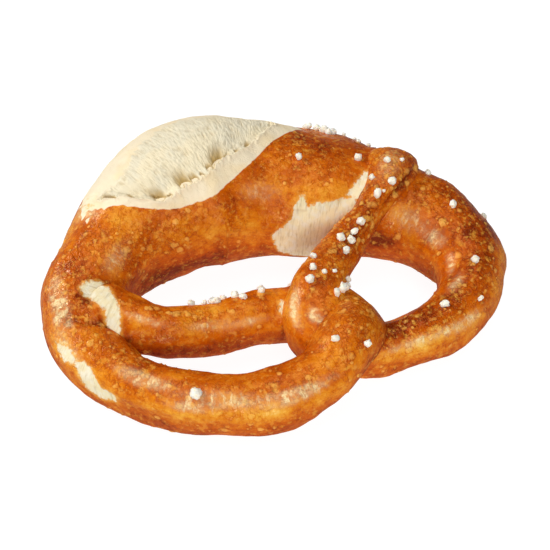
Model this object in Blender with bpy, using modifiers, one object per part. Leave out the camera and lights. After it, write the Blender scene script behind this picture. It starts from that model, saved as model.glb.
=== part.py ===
"""A soft Bavarian pretzel: one rope of dough, twisted twice, pressed onto its own belly and sprinkled with salt.

The rope is swept along one route, from the tip of the left arm to the tip of the right arm. Its section is wide and
flat-footed in the belly and nearly round in the arms. A voxel remesh fuses the rope where it crosses and touches
itself, as baking does. The belly's burst is a relief of the section, and the salt grains are fused to the crust.

Metres, +Z up. The belly lies towards +Y and the twist towards -Y. The rope is measured in millimetres along the route
and in degrees round it: 0 is the top, and positive angles turn to the inside of the belly and of the loops' ends.
"""

from collections import namedtuple
from math import cos, pi, radians, sin

import bmesh
import bpy
import numpy as np
from mathutils import Euler, Vector
from mathutils.bvhtree import BVHTree

MM = 0.001

# Where the route's own origin lies from the middle of the finished pretzel's footprint, in millimetres.
CENTRE_X = 1.1
CENTRE_Y = -10.1

# The dough is pressed this far below the table's plane and then cut flat, so that it has a flat foot.
PRESS = 1.5

# How much fuller than an ellipse the lower half of a resting strand is, halfway from its side to its foot.
FOOT_FULLNESS = 0.08

# A strand rests on the table where its underside is lower than the first height, and not at all above the second.
RESTING_BELOW = 1.0
FREE_ABOVE = 3.0

# The rope's route: its centre and its half width and half height, in millimetres.
Station = namedtuple("Station", "name x y z half_width half_height")
ROUTE = [
    Station("left arm tip", -67.5, 18, 22, 8, 8),
    Station("left arm root", -59, 6.5, 19, 9, 9),
    Station("left arm", -49.5, -3.8, 16, 9.3, 9.3),
    Station("left arm middle", -35.5, -9.2, 13.5, 9.5, 9.5),
    Station("left arm inner", -17.5, -13.2, 13, 9.9, 9.9),
    Station("under second crossing", 0, -18, 11, 9.2, 9.2),
    Station("right of twist", 10.4, -30.9, 13.5, 9.4, 10),
    Station("over first crossing", 2.5, -44.5, 20, 10.8, 10),
    Station("left loop start", -11, -50, 15, 10, 10),
    Station("left loop front", -29.6, -47.2, 11, 10.2, 10.5),
    Station("left loop bend", -51.2, -35.8, 11, 9.7, 10.2),
    Station("left loop side", -68.1, -17.2, 12, 10, 11),
    Station("left loop back", -73.4, 4.6, 13, 12.8, 12.5),
    Station("left shoulder", -68, 23, 16, 15, 14),
    Station("belly left", -51, 37, 19, 17.5, 18),
    Station("belly left middle", -29.6, 46, 22, 26.2, 23),
    Station("belly middle", -7, 48.5, 24, 32, 24.5),
    Station("belly right middle", 17, 39.2, 22, 29.1, 22.4),
    Station("belly right", 39.7, 23.6, 20, 27.8, 21),
    Station("right shoulder", 56, 6, 18, 20.4, 18),
    Station("right loop back", 66, -12.5, 16, 17.4, 16.5),
    Station("right loop side", 67.3, -30, 14, 15, 14),
    Station("right loop bend", 58.8, -42.3, 12, 11.6, 12),
    Station("right loop front", 42.8, -49.2, 11, 9.8, 10.3),
    Station("right loop start", 25.2, -49.4, 11, 8.6, 9.2),
    Station("under first crossing", 9.3, -44.4, 10, 9, 9),
    Station("left of twist", -4.8, -32.8, 15, 8.8, 9.6),
    Station("over second crossing", 3.5, -21.2, 22, 9.3, 9.3),
    Station("right arm", 20.7, -11.2, 24.5, 7.8, 8.2),
    Station("right arm climb", 37.5, -4, 29.5, 5.8, 6.6),
    Station("right arm on belly", 52.8, 3.6, 35.6, 7, 6.6),
    Station("right arm tip", 65.4, 15.6, 35.4, 8.6, 6.2),
]
ROUTE_SAMPLES = 2000
RING_STEP = 2.0
RING_SIDES = 48

# Radius of the small flat end of each rounded tip, as a share of the rope's radius there.
TIP_END = 0.14

# The burst in the belly's crust, as (millimetres along, degrees round): its edge towards the middle of the pretzel,
# its edge at the back, and the edges of the torn crumb, which lies lower than the smooth skin beside it. The swell
# is a low dome, full where the burst is this many degrees wide. The crumb's step is in degrees too.
BURST_FRONT = [
    (268, -24), (273, -8), (276, 6), (281, 26), (288, 41), (298, 47), (314, 46), (327, 31), (335, 15), (341, 0),
    (347, -16), (353, -34),
]
BURST_BACK = [(268, -28), (276, -50), (290, -64), (312, -70), (334, -64), (347, -50), (353, -38)]
CRUMB_FRONT = [(275, -12), (281, 12), (286, 28), (299, 33), (312, 30), (322, 19), (330, 9), (338, -8), (343, -24)]
CRUMB_BACK = [(275, -14), (285, -8), (296, -16), (306, -23), (318, -28), (332, -32), (343, -28)]
BURST_SWELL = 1.6
BURST_FULL_WIDTH = 60.0
CRUMB_DEPTH = 3.0
CRUMB_STEP = 7.0

# Voxel size of the fusing remesh, and the number of faces that the fused rope keeps.
FUSE_VOXEL = 1.1
ROPE_FACES = 7400

# The slab that cuts the foot flat.
SLAB_WIDTH = 400.0
SLAB_THICKNESS = 20.0

# Edges sharper than this many degrees are shaded as edges.
SHARP_ANGLE = 50.0

# Where salt lies: evenly spaced from start to end, each (millimetres along, degrees round), then scattered by up to
# scatter millimetres. Size is a grain's mean radius in millimetres.
SaltZone = namedtuple("SaltZone", "name start end count scatter size")
SALT = [
    SaltZone("belly crest", (356, -46), (363, -38), 5, 1.8, 1.4),
    SaltZone("belly crest small", (367, -42), (378, -36), 4, 1.5, 1.0),
    SaltZone("belly top", (352, 12), (375, -3), 2, 0.3, 1.4),
    SaltZone("belly back", (360, -72), (395, -64), 4, 4.0, 1.1),
    SaltZone("right shoulder", (400, -26), (415, -2), 2, 0.4, 1.3),
    SaltZone("right loop", (440, -2), (465, -3), 2, 0.4, 1.4),
    SaltZone("right loop back", (423, -60), (454, -50), 2, 3.0, 1.1),
    SaltZone("left arm ridge", (66, -18), (39, -44), 7, 2.6, 1.2),
    SaltZone("left arm back", (76, -50), (46, -58), 4, 2.5, 1.2),
    SaltZone("left loop", (177, -27), (177, -27), 1, 0.2, 1.6),
    SaltZone("twist front", (122, 4), (119, -50), 2, 0.3, 1.4),
    SaltZone("twist notch", (541, 88), (530, 53), 5, 1.0, 1.4),
    SaltZone("arm foot", (540, -22), (533, -5), 3, 0.8, 1.4),
    SaltZone("arm foot small", (538, 36), (536, 22), 2, 0.8, 0.8),
    SaltZone("right arm", (565, 21), (550, 34), 4, 0.6, 1.4),
    SaltZone("right arm side", (554, 3), (554, 3), 1, 0.3, 1.3),
    SaltZone("arm tip", (592, -10), (579, 12), 2, 0.4, 1.5),
    SaltZone("arm tip sides", (586, 36), (585, -36), 2, 0.4, 1.4),
    SaltZone("arm tip small", (581, 34), (594, 30), 2, 0.6, 0.8),
]
SALT_SEED = 11

# A grain's three radii differ by these factors from its mean radius, and that by up to this share from its zone's.
SALT_STRETCH = (0.78, 1.3)
SALT_SPREAD = 0.15

# A grain's centre lies this share of its radius above the crust, which it reaches along a ray that starts this many
# radii off the rope's centre.
SALT_SINK = 0.25
SALT_RAY = 1.5

CRUST_COLOUR = (0.42, 0.12, 0.02, 1.0)
CRUST_ROUGHNESS = 0.35


def clear_scene():
    """Empties the scene of every object."""
    for obj in list(bpy.data.objects):
        bpy.data.objects.remove(obj, do_unlink=True)


def crust_material():
    """The glossy brown crust."""
    material = bpy.data.materials.new("crust")
    material.use_nodes = True
    shader = material.node_tree.nodes["Principled BSDF"]
    shader.inputs["Base Color"].default_value = CRUST_COLOUR
    shader.inputs["Roughness"].default_value = CRUST_ROUGHNESS
    shader.inputs["Metallic"].default_value = 0.0
    return material


def hermite(values, knots, at):
    """A smooth curve through rows of values at the knots, read at the given places."""
    slopes = np.gradient(values, knots, axis=0)
    k = np.clip(np.searchsorted(knots, at, side="right") - 1, 0, len(knots) - 2)
    span = (knots[k + 1] - knots[k])[:, None]
    t = (at - knots[k])[:, None] / span
    start = (2 * t**3 - 3 * t**2 + 1) * values[k] + (t**3 - 2 * t**2 + t) * span * slopes[k]
    end = (-2 * t**3 + 3 * t**2) * values[k + 1] + (t**3 - t**2) * span * slopes[k + 1]
    return start + end


def path_length(points):
    """Distance along a line of points, from its first one."""
    return np.concatenate([[0], np.cumsum(np.linalg.norm(np.diff(points, axis=0), axis=1))])


def rope():
    """The rope as evenly spaced rings: distance along, centre, half width and half height, in millimetres."""
    stations = np.array([station[1:] for station in ROUTE], float)
    knots = path_length(stations[:, :3])
    fine = hermite(stations, knots, np.linspace(0, knots[-1], ROUTE_SAMPLES))
    length = path_length(fine[:, :3])
    along = np.linspace(0, length[-1], round(length[-1] / RING_STEP) + 1)
    rows = np.stack([np.interp(along, length, column) for column in fine.T], 1)
    rows[:, 0] += CENTRE_X
    rows[:, 1] += CENTRE_Y
    return along, rows[:, :3], rows[:, 3], rows[:, 4]


def frames(centres):
    """For each ring, the directions to its side (the inside of the belly) and to its top."""
    ahead = np.gradient(centres, axis=0)
    ahead /= np.linalg.norm(ahead, axis=1)[:, None]
    side = np.cross(ahead, [0, 0, 1.0])
    side /= np.linalg.norm(side, axis=1)[:, None]
    return side, np.cross(side, ahead)


def edge_at(edge, along):
    """A column with the angle of one of the burst's edges at each ring, smooth through the edge's points."""
    points = np.array(edge, float)
    return hermite(points[:, 1:], points[:, 0], np.clip(along, points[0, 0], points[-1, 0]))


def between_ends(edge, along):
    """A column that says which rings lie between an edge's two ends."""
    return ((along > edge[0][0]) & (along < edge[-1][0]))[:, None]


def burst_relief(along, around):
    """How far the burst lifts the section at each ring and angle: a low dome, with a step down to the torn crumb."""
    front, back = edge_at(BURST_FRONT, along), edge_at(BURST_BACK, along)
    width = np.maximum(front - back, 1.0)
    dome = BURST_SWELL * np.minimum(1, width / BURST_FULL_WIDTH) * np.sin(pi * np.clip((around - back) / width, 0, 1))
    front, back = edge_at(CRUMB_FRONT, along), edge_at(CRUMB_BACK, along)
    width = np.maximum(front - back, 1.0)
    step = np.clip((front - around) / CRUMB_STEP, 0, 1) * np.clip((around - back) / width, 0, 1)
    return between_ends(BURST_FRONT, along) * dome - between_ends(CRUMB_FRONT, along) * CRUMB_DEPTH * step


def section_grid():
    """The rope's rings of points, in millimetres, wrapped once round each ring."""
    along, centres, half_width, half_height = rope()
    side, up = frames(centres)
    angle = np.linspace(-pi, pi, RING_SIDES, endpoint=False)
    across, rise = np.sin(angle), np.cos(angle)

    # A strand on the table gets a lower half that reaches under the table's plane and is fuller than an ellipse.
    clearance = centres[:, 2] - half_height
    resting = np.clip((FREE_ABOVE - clearance) / (FREE_ABOVE - RESTING_BELOW), 0, 1)
    lower = half_height + resting * np.maximum(0, centres[:, 2] + PRESS - half_height)
    reach = np.where(rise > 0, half_height[:, None], lower[:, None])
    fuller = 1 + resting[:, None] * FOOT_FULLNESS * np.clip(-rise, 0, 1) * np.abs(across)

    # The tips are rounded off like half a sphere.
    from_tip = np.clip(np.minimum(along, along[-1] - along) / half_width, 0, 1)
    taper = np.sqrt(np.clip(1 - (1 - from_tip) ** 2, TIP_END**2, 1))[:, None]

    lift = burst_relief(along, np.degrees(angle))
    x = (half_width[:, None] * taper * fuller + lift) * across
    y = (reach * taper * fuller + lift) * rise
    grid = centres[:, None] + x[..., None] * side[:, None] + y[..., None] * up[:, None]
    grid[..., 2] = np.maximum(grid[..., 2], -PRESS)
    return grid


def swept_mesh(grid):
    """The rings joined by quads, with a cap on each tip."""
    rings, sides = grid.shape[:2]
    bm = bmesh.new()
    rows = [[bm.verts.new(Vector(point) * MM) for point in ring] for ring in grid]
    for row, following in zip(rows[:-1], rows[1:]):
        for j in range(sides):
            k = (j + 1) % sides
            bm.faces.new((row[j], following[j], following[k], row[k]))
    bm.faces.new(rows[0])
    bm.faces.new(list(reversed(rows[rings - 1])))
    bmesh.ops.recalc_face_normals(bm, faces=bm.faces)
    mesh = bpy.data.meshes.new("rope")
    bm.to_mesh(mesh)
    bm.free()
    return mesh


def applied(obj):
    """The object's mesh with its modifiers applied and removed."""
    graph = bpy.context.evaluated_depsgraph_get()
    mesh = bpy.data.meshes.new_from_object(obj.evaluated_get(graph))
    obj.modifiers.clear()
    obj.data = mesh
    return obj


def table_cutter(collection):
    """A slab under the table's plane, which cuts the foot flat."""
    bpy.ops.mesh.primitive_cube_add(size=1, location=(0, 0, -SLAB_THICKNESS / 2 * MM))
    cutter = bpy.context.object
    cutter.name = "table_cutter"
    cutter.scale = (SLAB_WIDTH * MM, SLAB_WIDTH * MM, SLAB_THICKNESS * MM)
    cutter.hide_render = True
    cutter.display_type = "WIRE"
    for owner in cutter.users_collection:
        owner.objects.unlink(cutter)
    collection.objects.link(cutter)
    return cutter


def fused_rope(collection, cutters):
    """The rope as one closed body: fused where it touches itself, thinned to few faces and cut flat underneath."""
    obj = bpy.data.objects.new("pretzel", swept_mesh(section_grid()))
    collection.objects.link(obj)
    fuse = obj.modifiers.new("fuse", "REMESH")
    fuse.mode = "VOXEL"
    fuse.voxel_size = FUSE_VOXEL * MM
    applied(obj)
    triangles = obj.modifiers.new("triangles", "TRIANGULATE")
    triangles.min_vertices = 4
    thin = obj.modifiers.new("thin", "DECIMATE")
    thin.ratio = ROPE_FACES / (2 * len(obj.data.polygons))
    cut = obj.modifiers.new("flat foot", "BOOLEAN")
    cut.operation = "DIFFERENCE"
    cut.object = table_cutter(cutters)
    bpy.context.view_layer.update()
    return applied(obj)


def salt_places(rng):
    """Each grain's place as (millimetres along, degrees round, mean radius)."""
    half_width = rope()[2]
    for zone in SALT:
        for k in range(zone.count):
            share = k / max(zone.count - 1, 1)
            along = zone.start[0] + share * (zone.end[0] - zone.start[0]) + rng.uniform(-1, 1) * zone.scatter
            around = zone.start[1] + share * (zone.end[1] - zone.start[1])
            radius = half_width[round(along / RING_STEP)]
            around += np.degrees(rng.uniform(-1, 1) * zone.scatter / radius)
            yield along, around, zone.size * rng.uniform(1 - SALT_SPREAD, 1 + SALT_SPREAD)


def salt_grain(surface, route, place, rng):
    """One angular grain, sunk a little into the crust at its place, or None where the crust isn't reached."""
    centres, side, up, half_width, half_height = route
    along, around, size = place
    ring = round(along / RING_STEP)
    sideways = half_width[ring] * sin(radians(around)) * side[ring]
    outward = Vector(sideways + half_height[ring] * cos(radians(around)) * up[ring])
    start = (Vector(centres[ring]) + outward * SALT_RAY) * MM
    hit, normal, _, _ = surface.ray_cast(start, -outward.normalized())
    if hit is None:
        return None
    bm = bmesh.new()
    bmesh.ops.create_icosphere(bm, subdivisions=1, radius=size * MM)
    stretch = Vector([rng.uniform(*SALT_STRETCH) for _ in range(3)])
    bmesh.ops.scale(bm, vec=stretch, verts=bm.verts)
    turn = Euler([rng.uniform(0, 2 * pi) for _ in range(3)]).to_matrix()
    bmesh.ops.rotate(bm, matrix=turn, verts=bm.verts)
    bmesh.ops.translate(bm, vec=hit + normal * size * SALT_SINK * MM, verts=bm.verts)
    mesh = bpy.data.meshes.new("salt")
    bm.to_mesh(mesh)
    bm.free()
    return bpy.data.objects.new("salt", mesh)


def add_salt(pretzel):
    """Joins the salt to the crust by one Boolean union, and removes the loose grains."""
    rng = np.random.default_rng(SALT_SEED)
    grains = bpy.data.collections.new("salt")
    bpy.context.scene.collection.children.link(grains)
    _, centres, half_width, half_height = rope()
    surface = BVHTree.FromObject(pretzel, bpy.context.evaluated_depsgraph_get())
    route = (centres, *frames(centres), half_width, half_height)
    for place in salt_places(rng):
        grain = salt_grain(surface, route, place, rng)
        if grain:
            grains.objects.link(grain)
    union = pretzel.modifiers.new("salt", "BOOLEAN")
    union.operation = "UNION"
    union.operand_type = "COLLECTION"
    union.collection = grains
    bpy.context.view_layer.update()
    applied(pretzel)
    for grain in list(grains.objects):
        bpy.data.objects.remove(grain, do_unlink=True)
    bpy.data.collections.remove(grains)


def main():
    """Builds the pretzel as one named solid."""
    clear_scene()
    collection = bpy.data.collections.new("bavarian_pretzel")
    cutters = bpy.data.collections.new("cutters")
    bpy.context.scene.collection.children.link(collection)
    bpy.context.scene.collection.children.link(cutters)
    pretzel = fused_rope(collection, cutters)
    add_salt(pretzel)
    pretzel.data.materials.clear()
    pretzel.data.materials.append(crust_material())
    pretzel.data.shade_smooth()
    pretzel.data.set_sharp_from_angle(angle=radians(SHARP_ANGLE))


main()
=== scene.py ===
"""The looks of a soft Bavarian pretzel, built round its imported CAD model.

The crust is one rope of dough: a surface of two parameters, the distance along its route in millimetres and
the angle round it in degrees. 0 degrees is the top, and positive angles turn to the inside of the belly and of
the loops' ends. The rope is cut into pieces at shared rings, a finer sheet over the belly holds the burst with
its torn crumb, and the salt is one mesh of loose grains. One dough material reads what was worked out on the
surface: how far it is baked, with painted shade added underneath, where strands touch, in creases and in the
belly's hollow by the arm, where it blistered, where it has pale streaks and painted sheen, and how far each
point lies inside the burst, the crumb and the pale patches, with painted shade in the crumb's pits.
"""

import logging
from collections.abc import Iterator
from dataclasses import dataclass, field
from enum import Enum
from functools import reduce
from itertools import product
from math import cos, pi, radians, sin

import bmesh
import bpy
import numpy as np
from mathutils import Euler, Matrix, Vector
from mathutils.bvhtree import BVHTree


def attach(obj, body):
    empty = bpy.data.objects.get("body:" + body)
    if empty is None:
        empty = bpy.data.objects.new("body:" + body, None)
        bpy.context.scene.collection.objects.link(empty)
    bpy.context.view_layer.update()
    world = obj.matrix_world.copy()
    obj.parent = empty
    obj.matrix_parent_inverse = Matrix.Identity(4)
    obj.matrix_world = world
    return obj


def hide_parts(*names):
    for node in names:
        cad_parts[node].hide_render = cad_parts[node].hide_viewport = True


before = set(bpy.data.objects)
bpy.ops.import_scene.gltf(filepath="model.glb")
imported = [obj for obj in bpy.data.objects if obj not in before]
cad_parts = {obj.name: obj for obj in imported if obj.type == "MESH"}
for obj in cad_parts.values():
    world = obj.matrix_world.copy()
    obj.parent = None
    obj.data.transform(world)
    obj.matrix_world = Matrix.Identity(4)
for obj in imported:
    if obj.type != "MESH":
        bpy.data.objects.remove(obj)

MM = 0.001
NODE = "pretzel"
BODY = "root"
LOG = logging.getLogger("pretzel")

Array = np.ndarray
Socket = bpy.types.NodeSocket
Pair = tuple[float, float]
Colour = tuple[float, float, float]


class Slot(Enum):
    """The material slots that the pieces are logged with."""

    CRUST = "crust"
    CRUMB = "crumb"
    SALT = "salt"


@dataclass(frozen=True)
class Station:
    """One place on the rope's route: its centre, half width and half height, in millimetres."""

    name: str
    x: float
    y: float
    z: float
    half_width: float
    half_height: float


ROUTE = (
    Station("left arm tip", -67.5, 18, 22, 8, 8),
    Station("left arm root", -59, 6.5, 19, 9, 9),
    Station("left arm", -49.5, -3.8, 16, 9.3, 9.3),
    Station("left arm middle", -35.5, -9.2, 13.5, 9.5, 9.5),
    Station("left arm inner", -17.5, -13.2, 13, 9.9, 9.9),
    Station("under second crossing", 0, -18, 11, 9.2, 9.2),
    Station("right of twist", 10.4, -30.9, 13.5, 9.4, 10),
    Station("over first crossing", 2.5, -44.5, 20, 10.8, 10),
    Station("left loop start", -11, -50, 15, 10, 10),
    Station("left loop front", -29.6, -47.2, 11, 10.2, 10.5),
    Station("left loop bend", -51.2, -35.8, 11, 9.7, 10.2),
    Station("left loop side", -68.1, -17.2, 12, 10, 11),
    Station("left loop back", -73.4, 4.6, 13, 12.8, 12.5),
    Station("left shoulder", -68, 23, 16, 15, 14),
    Station("belly left", -51, 37, 19, 17.5, 18),
    Station("belly left middle", -29.6, 46, 22, 26.2, 23),
    Station("belly middle", -7, 48.5, 24, 32, 24.5),
    Station("belly right middle", 17, 39.2, 22, 29.1, 22.4),
    Station("belly right", 39.7, 23.6, 20, 27.8, 21),
    Station("right shoulder", 56, 6, 18, 20.4, 18),
    Station("right loop back", 66, -12.5, 16, 17.4, 16.5),
    Station("right loop side", 67.3, -30, 14, 15, 14),
    Station("right loop bend", 58.8, -42.3, 12, 11.6, 12),
    Station("right loop front", 42.8, -49.2, 11, 9.8, 10.3),
    Station("right loop start", 25.2, -49.4, 11, 8.6, 9.2),
    Station("under first crossing", 9.3, -44.4, 10, 9, 9),
    Station("left of twist", -4.8, -32.8, 15, 8.8, 9.6),
    Station("over second crossing", 3.5, -21.2, 22, 9.3, 9.3),
    Station("right arm", 20.7, -11.2, 24.5, 7.8, 8.2),
    Station("right arm climb", 37.5, -4, 29.5, 5.8, 6.6),
    Station("right arm on belly", 52.8, 3.6, 35.6, 7, 6.6),
    Station("right arm tip", 65.4, 15.6, 35.4, 8.6, 6.2),
)


def unit(vectors: Array) -> Array:
    """The vectors along the last axis, scaled to length one."""
    return vectors / np.maximum(np.linalg.norm(vectors, axis=-1, keepdims=True), 1e-9)


def smooth(low: float, high: float, values: Array) -> Array:
    """A smooth step from 0 at low to 1 at high, 3t^2 - 2t^3 of the clamped share t. High may be the lesser."""
    t = np.clip((values - low) / (high - low), 0, 1)
    return t * t * (3 - 2 * t)


def hermite(values: Array, knots: Array, at: Array) -> Array:
    """A smooth curve through rows of values: cubics between knots, whose slopes come from their neighbours.

    Args:
        values: One row for each knot.
        knots: Rising places of the rows.
        at: Places to read.

    Returns:
        One row for each place.
    """
    slopes = np.gradient(values, knots, axis=0)
    k = np.clip(np.searchsorted(knots, at, side="right") - 1, 0, len(knots) - 2)
    span = (knots[k + 1] - knots[k])[:, None]
    t = (at - knots[k])[:, None] / span
    start = (2 * t**3 - 3 * t**2 + 1) * values[k] + (t**3 - 2 * t**2 + t) * span * slopes[k]
    end = (-2 * t**3 + 3 * t**2) * values[k + 1] + (t**3 - t**2) * span * slopes[k + 1]
    return start + end


def path_length(points: Array) -> Array:
    """Distance along a line of points, from its first one."""
    return np.concatenate([[0], np.cumsum(np.linalg.norm(np.diff(points, axis=0), axis=1))])


def add_object(name: str, data: bpy.types.ID) -> bpy.types.Object:
    """A new object for some data, at the origin and in the scene.

    Args:
        name: The object's name.
        data: Its mesh, lamp or camera.

    Returns:
        The object.
    """
    thing = bpy.data.objects.new(name, data)
    bpy.context.scene.collection.objects.link(thing)
    return thing


def grid_normals(points: Array, closed: bool) -> Array:
    """Outward unit normals of a grid: the cross product of its steps round the rope and along it.

    Args:
        points: Rings of points, rings first.
        closed: Whether each ring joins its own start.

    Returns:
        One normal for each point.
    """
    ahead = np.gradient(points, axis=0)
    if closed:
        round_it = np.roll(points, -1, axis=1) - np.roll(points, 1, axis=1)
    else:
        round_it = np.gradient(points, axis=1)
    return unit(np.cross(round_it, ahead))


class Noise:
    """Smooth seeded noise between about -1 and 1: gradients at whole-number corners, blended by a quintic."""

    def __init__(self, seed: int) -> None:
        """Draws the corners' order and slopes.

        Args:
            seed: The seed of the draws.
        """
        rng = np.random.default_rng(seed)
        self.order = rng.permutation(256)
        self.slopes = unit(rng.normal(size=(256, 3)))

    def at(self, points: Array) -> Array:
        """The noise at some points, whose unit is the noise's own grain size.

        Args:
            points: Coordinates along the last axis.

        Returns:
            One number for each point.
        """
        cell = np.floor(points).astype(int)
        part = points - cell
        blend = part**3 * (part * (part * 6 - 15) + 10)
        total = np.zeros(points.shape[:-1])
        for corner in product((0, 1), repeat=3):
            x, y, z = np.moveaxis((cell + corner) & 255, -1, 0)
            slope = self.slopes[self.order[(self.order[(self.order[x] + y) & 255] + z) & 255]]
            weight = np.prod(np.where(np.array(corner) == 1, blend, 1 - blend), axis=-1)
            total += weight * np.sum(slope * (part - corner), axis=-1)
        return total * 1.6

    def layered(self, points: Array, size: float, layers: int) -> Array:
        """Noise of a size in millimetres, and finer layers on it, each half as large and half as strong."""
        return sum(self.at(points * 2**k / size + 17.0 * k) / 2**k for k in range(layers))


@dataclass
class Grid:
    """A grid on the rope's skin, in millimetres: rings of points with their outward normals.

    Along holds the rings' distances along the rope, around the points' angles in degrees, radius the rope's
    mean radius at each ring as a column, and gap each point's distance from the rope's other strands. The rings
    of a closed grid join their own start.
    """

    along: Array
    around: Array
    radius: Array
    points: Array
    normals: Array
    gap: Array
    closed: bool

    @property
    def degree(self) -> Array:
        """Millimetres a degree at each ring, as a column."""
        return self.radius * pi / 180

    @property
    def arc(self) -> Array:
        """Distances round the rope from its top, rings by angles."""
        return self.around[None] * self.degree

    @property
    def unrolled(self) -> Array:
        """Each point's distance along the rope and round it."""
        return np.stack(np.broadcast_arrays(self.along[:, None], self.arc), -1)

    def grain(self, sizes: Pair) -> Array:
        """Coordinates for noise drawn out along or round the rope, each over its own grain size."""
        long, wide = sizes
        return np.stack(np.broadcast_arrays(self.along[:, None] / long, self.arc / wide, 0.0), -1)


@dataclass(frozen=True)
class Edge:
    """A smooth edge on the rope: the angle in degrees at some distances along it."""

    points: tuple[Pair, ...]

    def at(self, along: Array) -> Array:
        """A column with the edge's angle at each distance, kept level beyond its ends."""
        rows = np.array(self.points, float)
        return hermite(rows[:, 1:], rows[:, 0], np.clip(along, rows[0, 0], rows[-1, 0]))[:, 0:1]


@dataclass(frozen=True)
class Region:
    """A region of the rope between a front edge, at larger angles, and a back edge. They meet at its ends."""

    front: Edge
    back: Edge

    def inside(self, along: Array) -> Array:
        """A column that says which distances lie between the region's ends."""
        return ((along > self.front.points[0][0]) & (along < self.front.points[-1][0]))[:, None]

    def across(self, along: Array, around: Array) -> tuple[Array, Array]:
        """The region's width in degrees, and how far across it each point lies, from 0 at its back to 1.

        Args:
            along: Distances along the rope.
            around: Angles.

        Returns:
            The widths, as a column, and the shares.
        """
        back = self.back.at(along)
        width = np.maximum(self.front.at(along) - back, 1.0)
        return width, np.clip((around - back) / width, 0, 1)

    def depth(self, grid: Grid) -> Array:
        """How far each point lies inside the region, in millimetres, and less than 0 outside.

        It is the smaller of the distances to the two edges, and beyond the ends the distance along the rope.

        Args:
            grid: The grid.

        Returns:
            Depths, rings by angles.
        """
        from_front = (self.front.at(grid.along) - grid.around) * grid.degree
        from_back = (grid.around - self.back.at(grid.along)) * grid.degree
        depth = np.minimum(from_front, from_back)
        start, end = self.front.points[0][0], self.front.points[-1][0]
        beyond = np.maximum(start - grid.along, grid.along - end)[:, None]
        return np.where(beyond > 0, np.minimum(depth, -beyond), depth)


BURST = Region(
    Edge((
        (268, -24), (273, -8), (276, 6), (281, 26), (288, 41), (298, 47), (314, 46), (327, 31), (335, 15),
        (341, 0), (347, -16), (353, -34),
    )),
    Edge(((268, -28), (276, -50), (290, -64), (312, -70), (334, -64), (347, -50), (353, -38))),
)
CRUMB = Region(
    Edge(((275, -12), (281, 12), (286, 28), (299, 33), (312, 30), (322, 19), (330, 9), (338, -8), (343, -24))),
    Edge(((275, -14), (285, -8), (296, -16), (306, -23), (318, -28), (332, -32), (343, -28))),
)


@dataclass
class Rings:
    """Rings of the rope: distance along, centre, directions to side and top, half width and half height."""

    along: Array
    centre: Array
    side: Array
    up: Array
    half_width: Array
    half_height: Array


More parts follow.
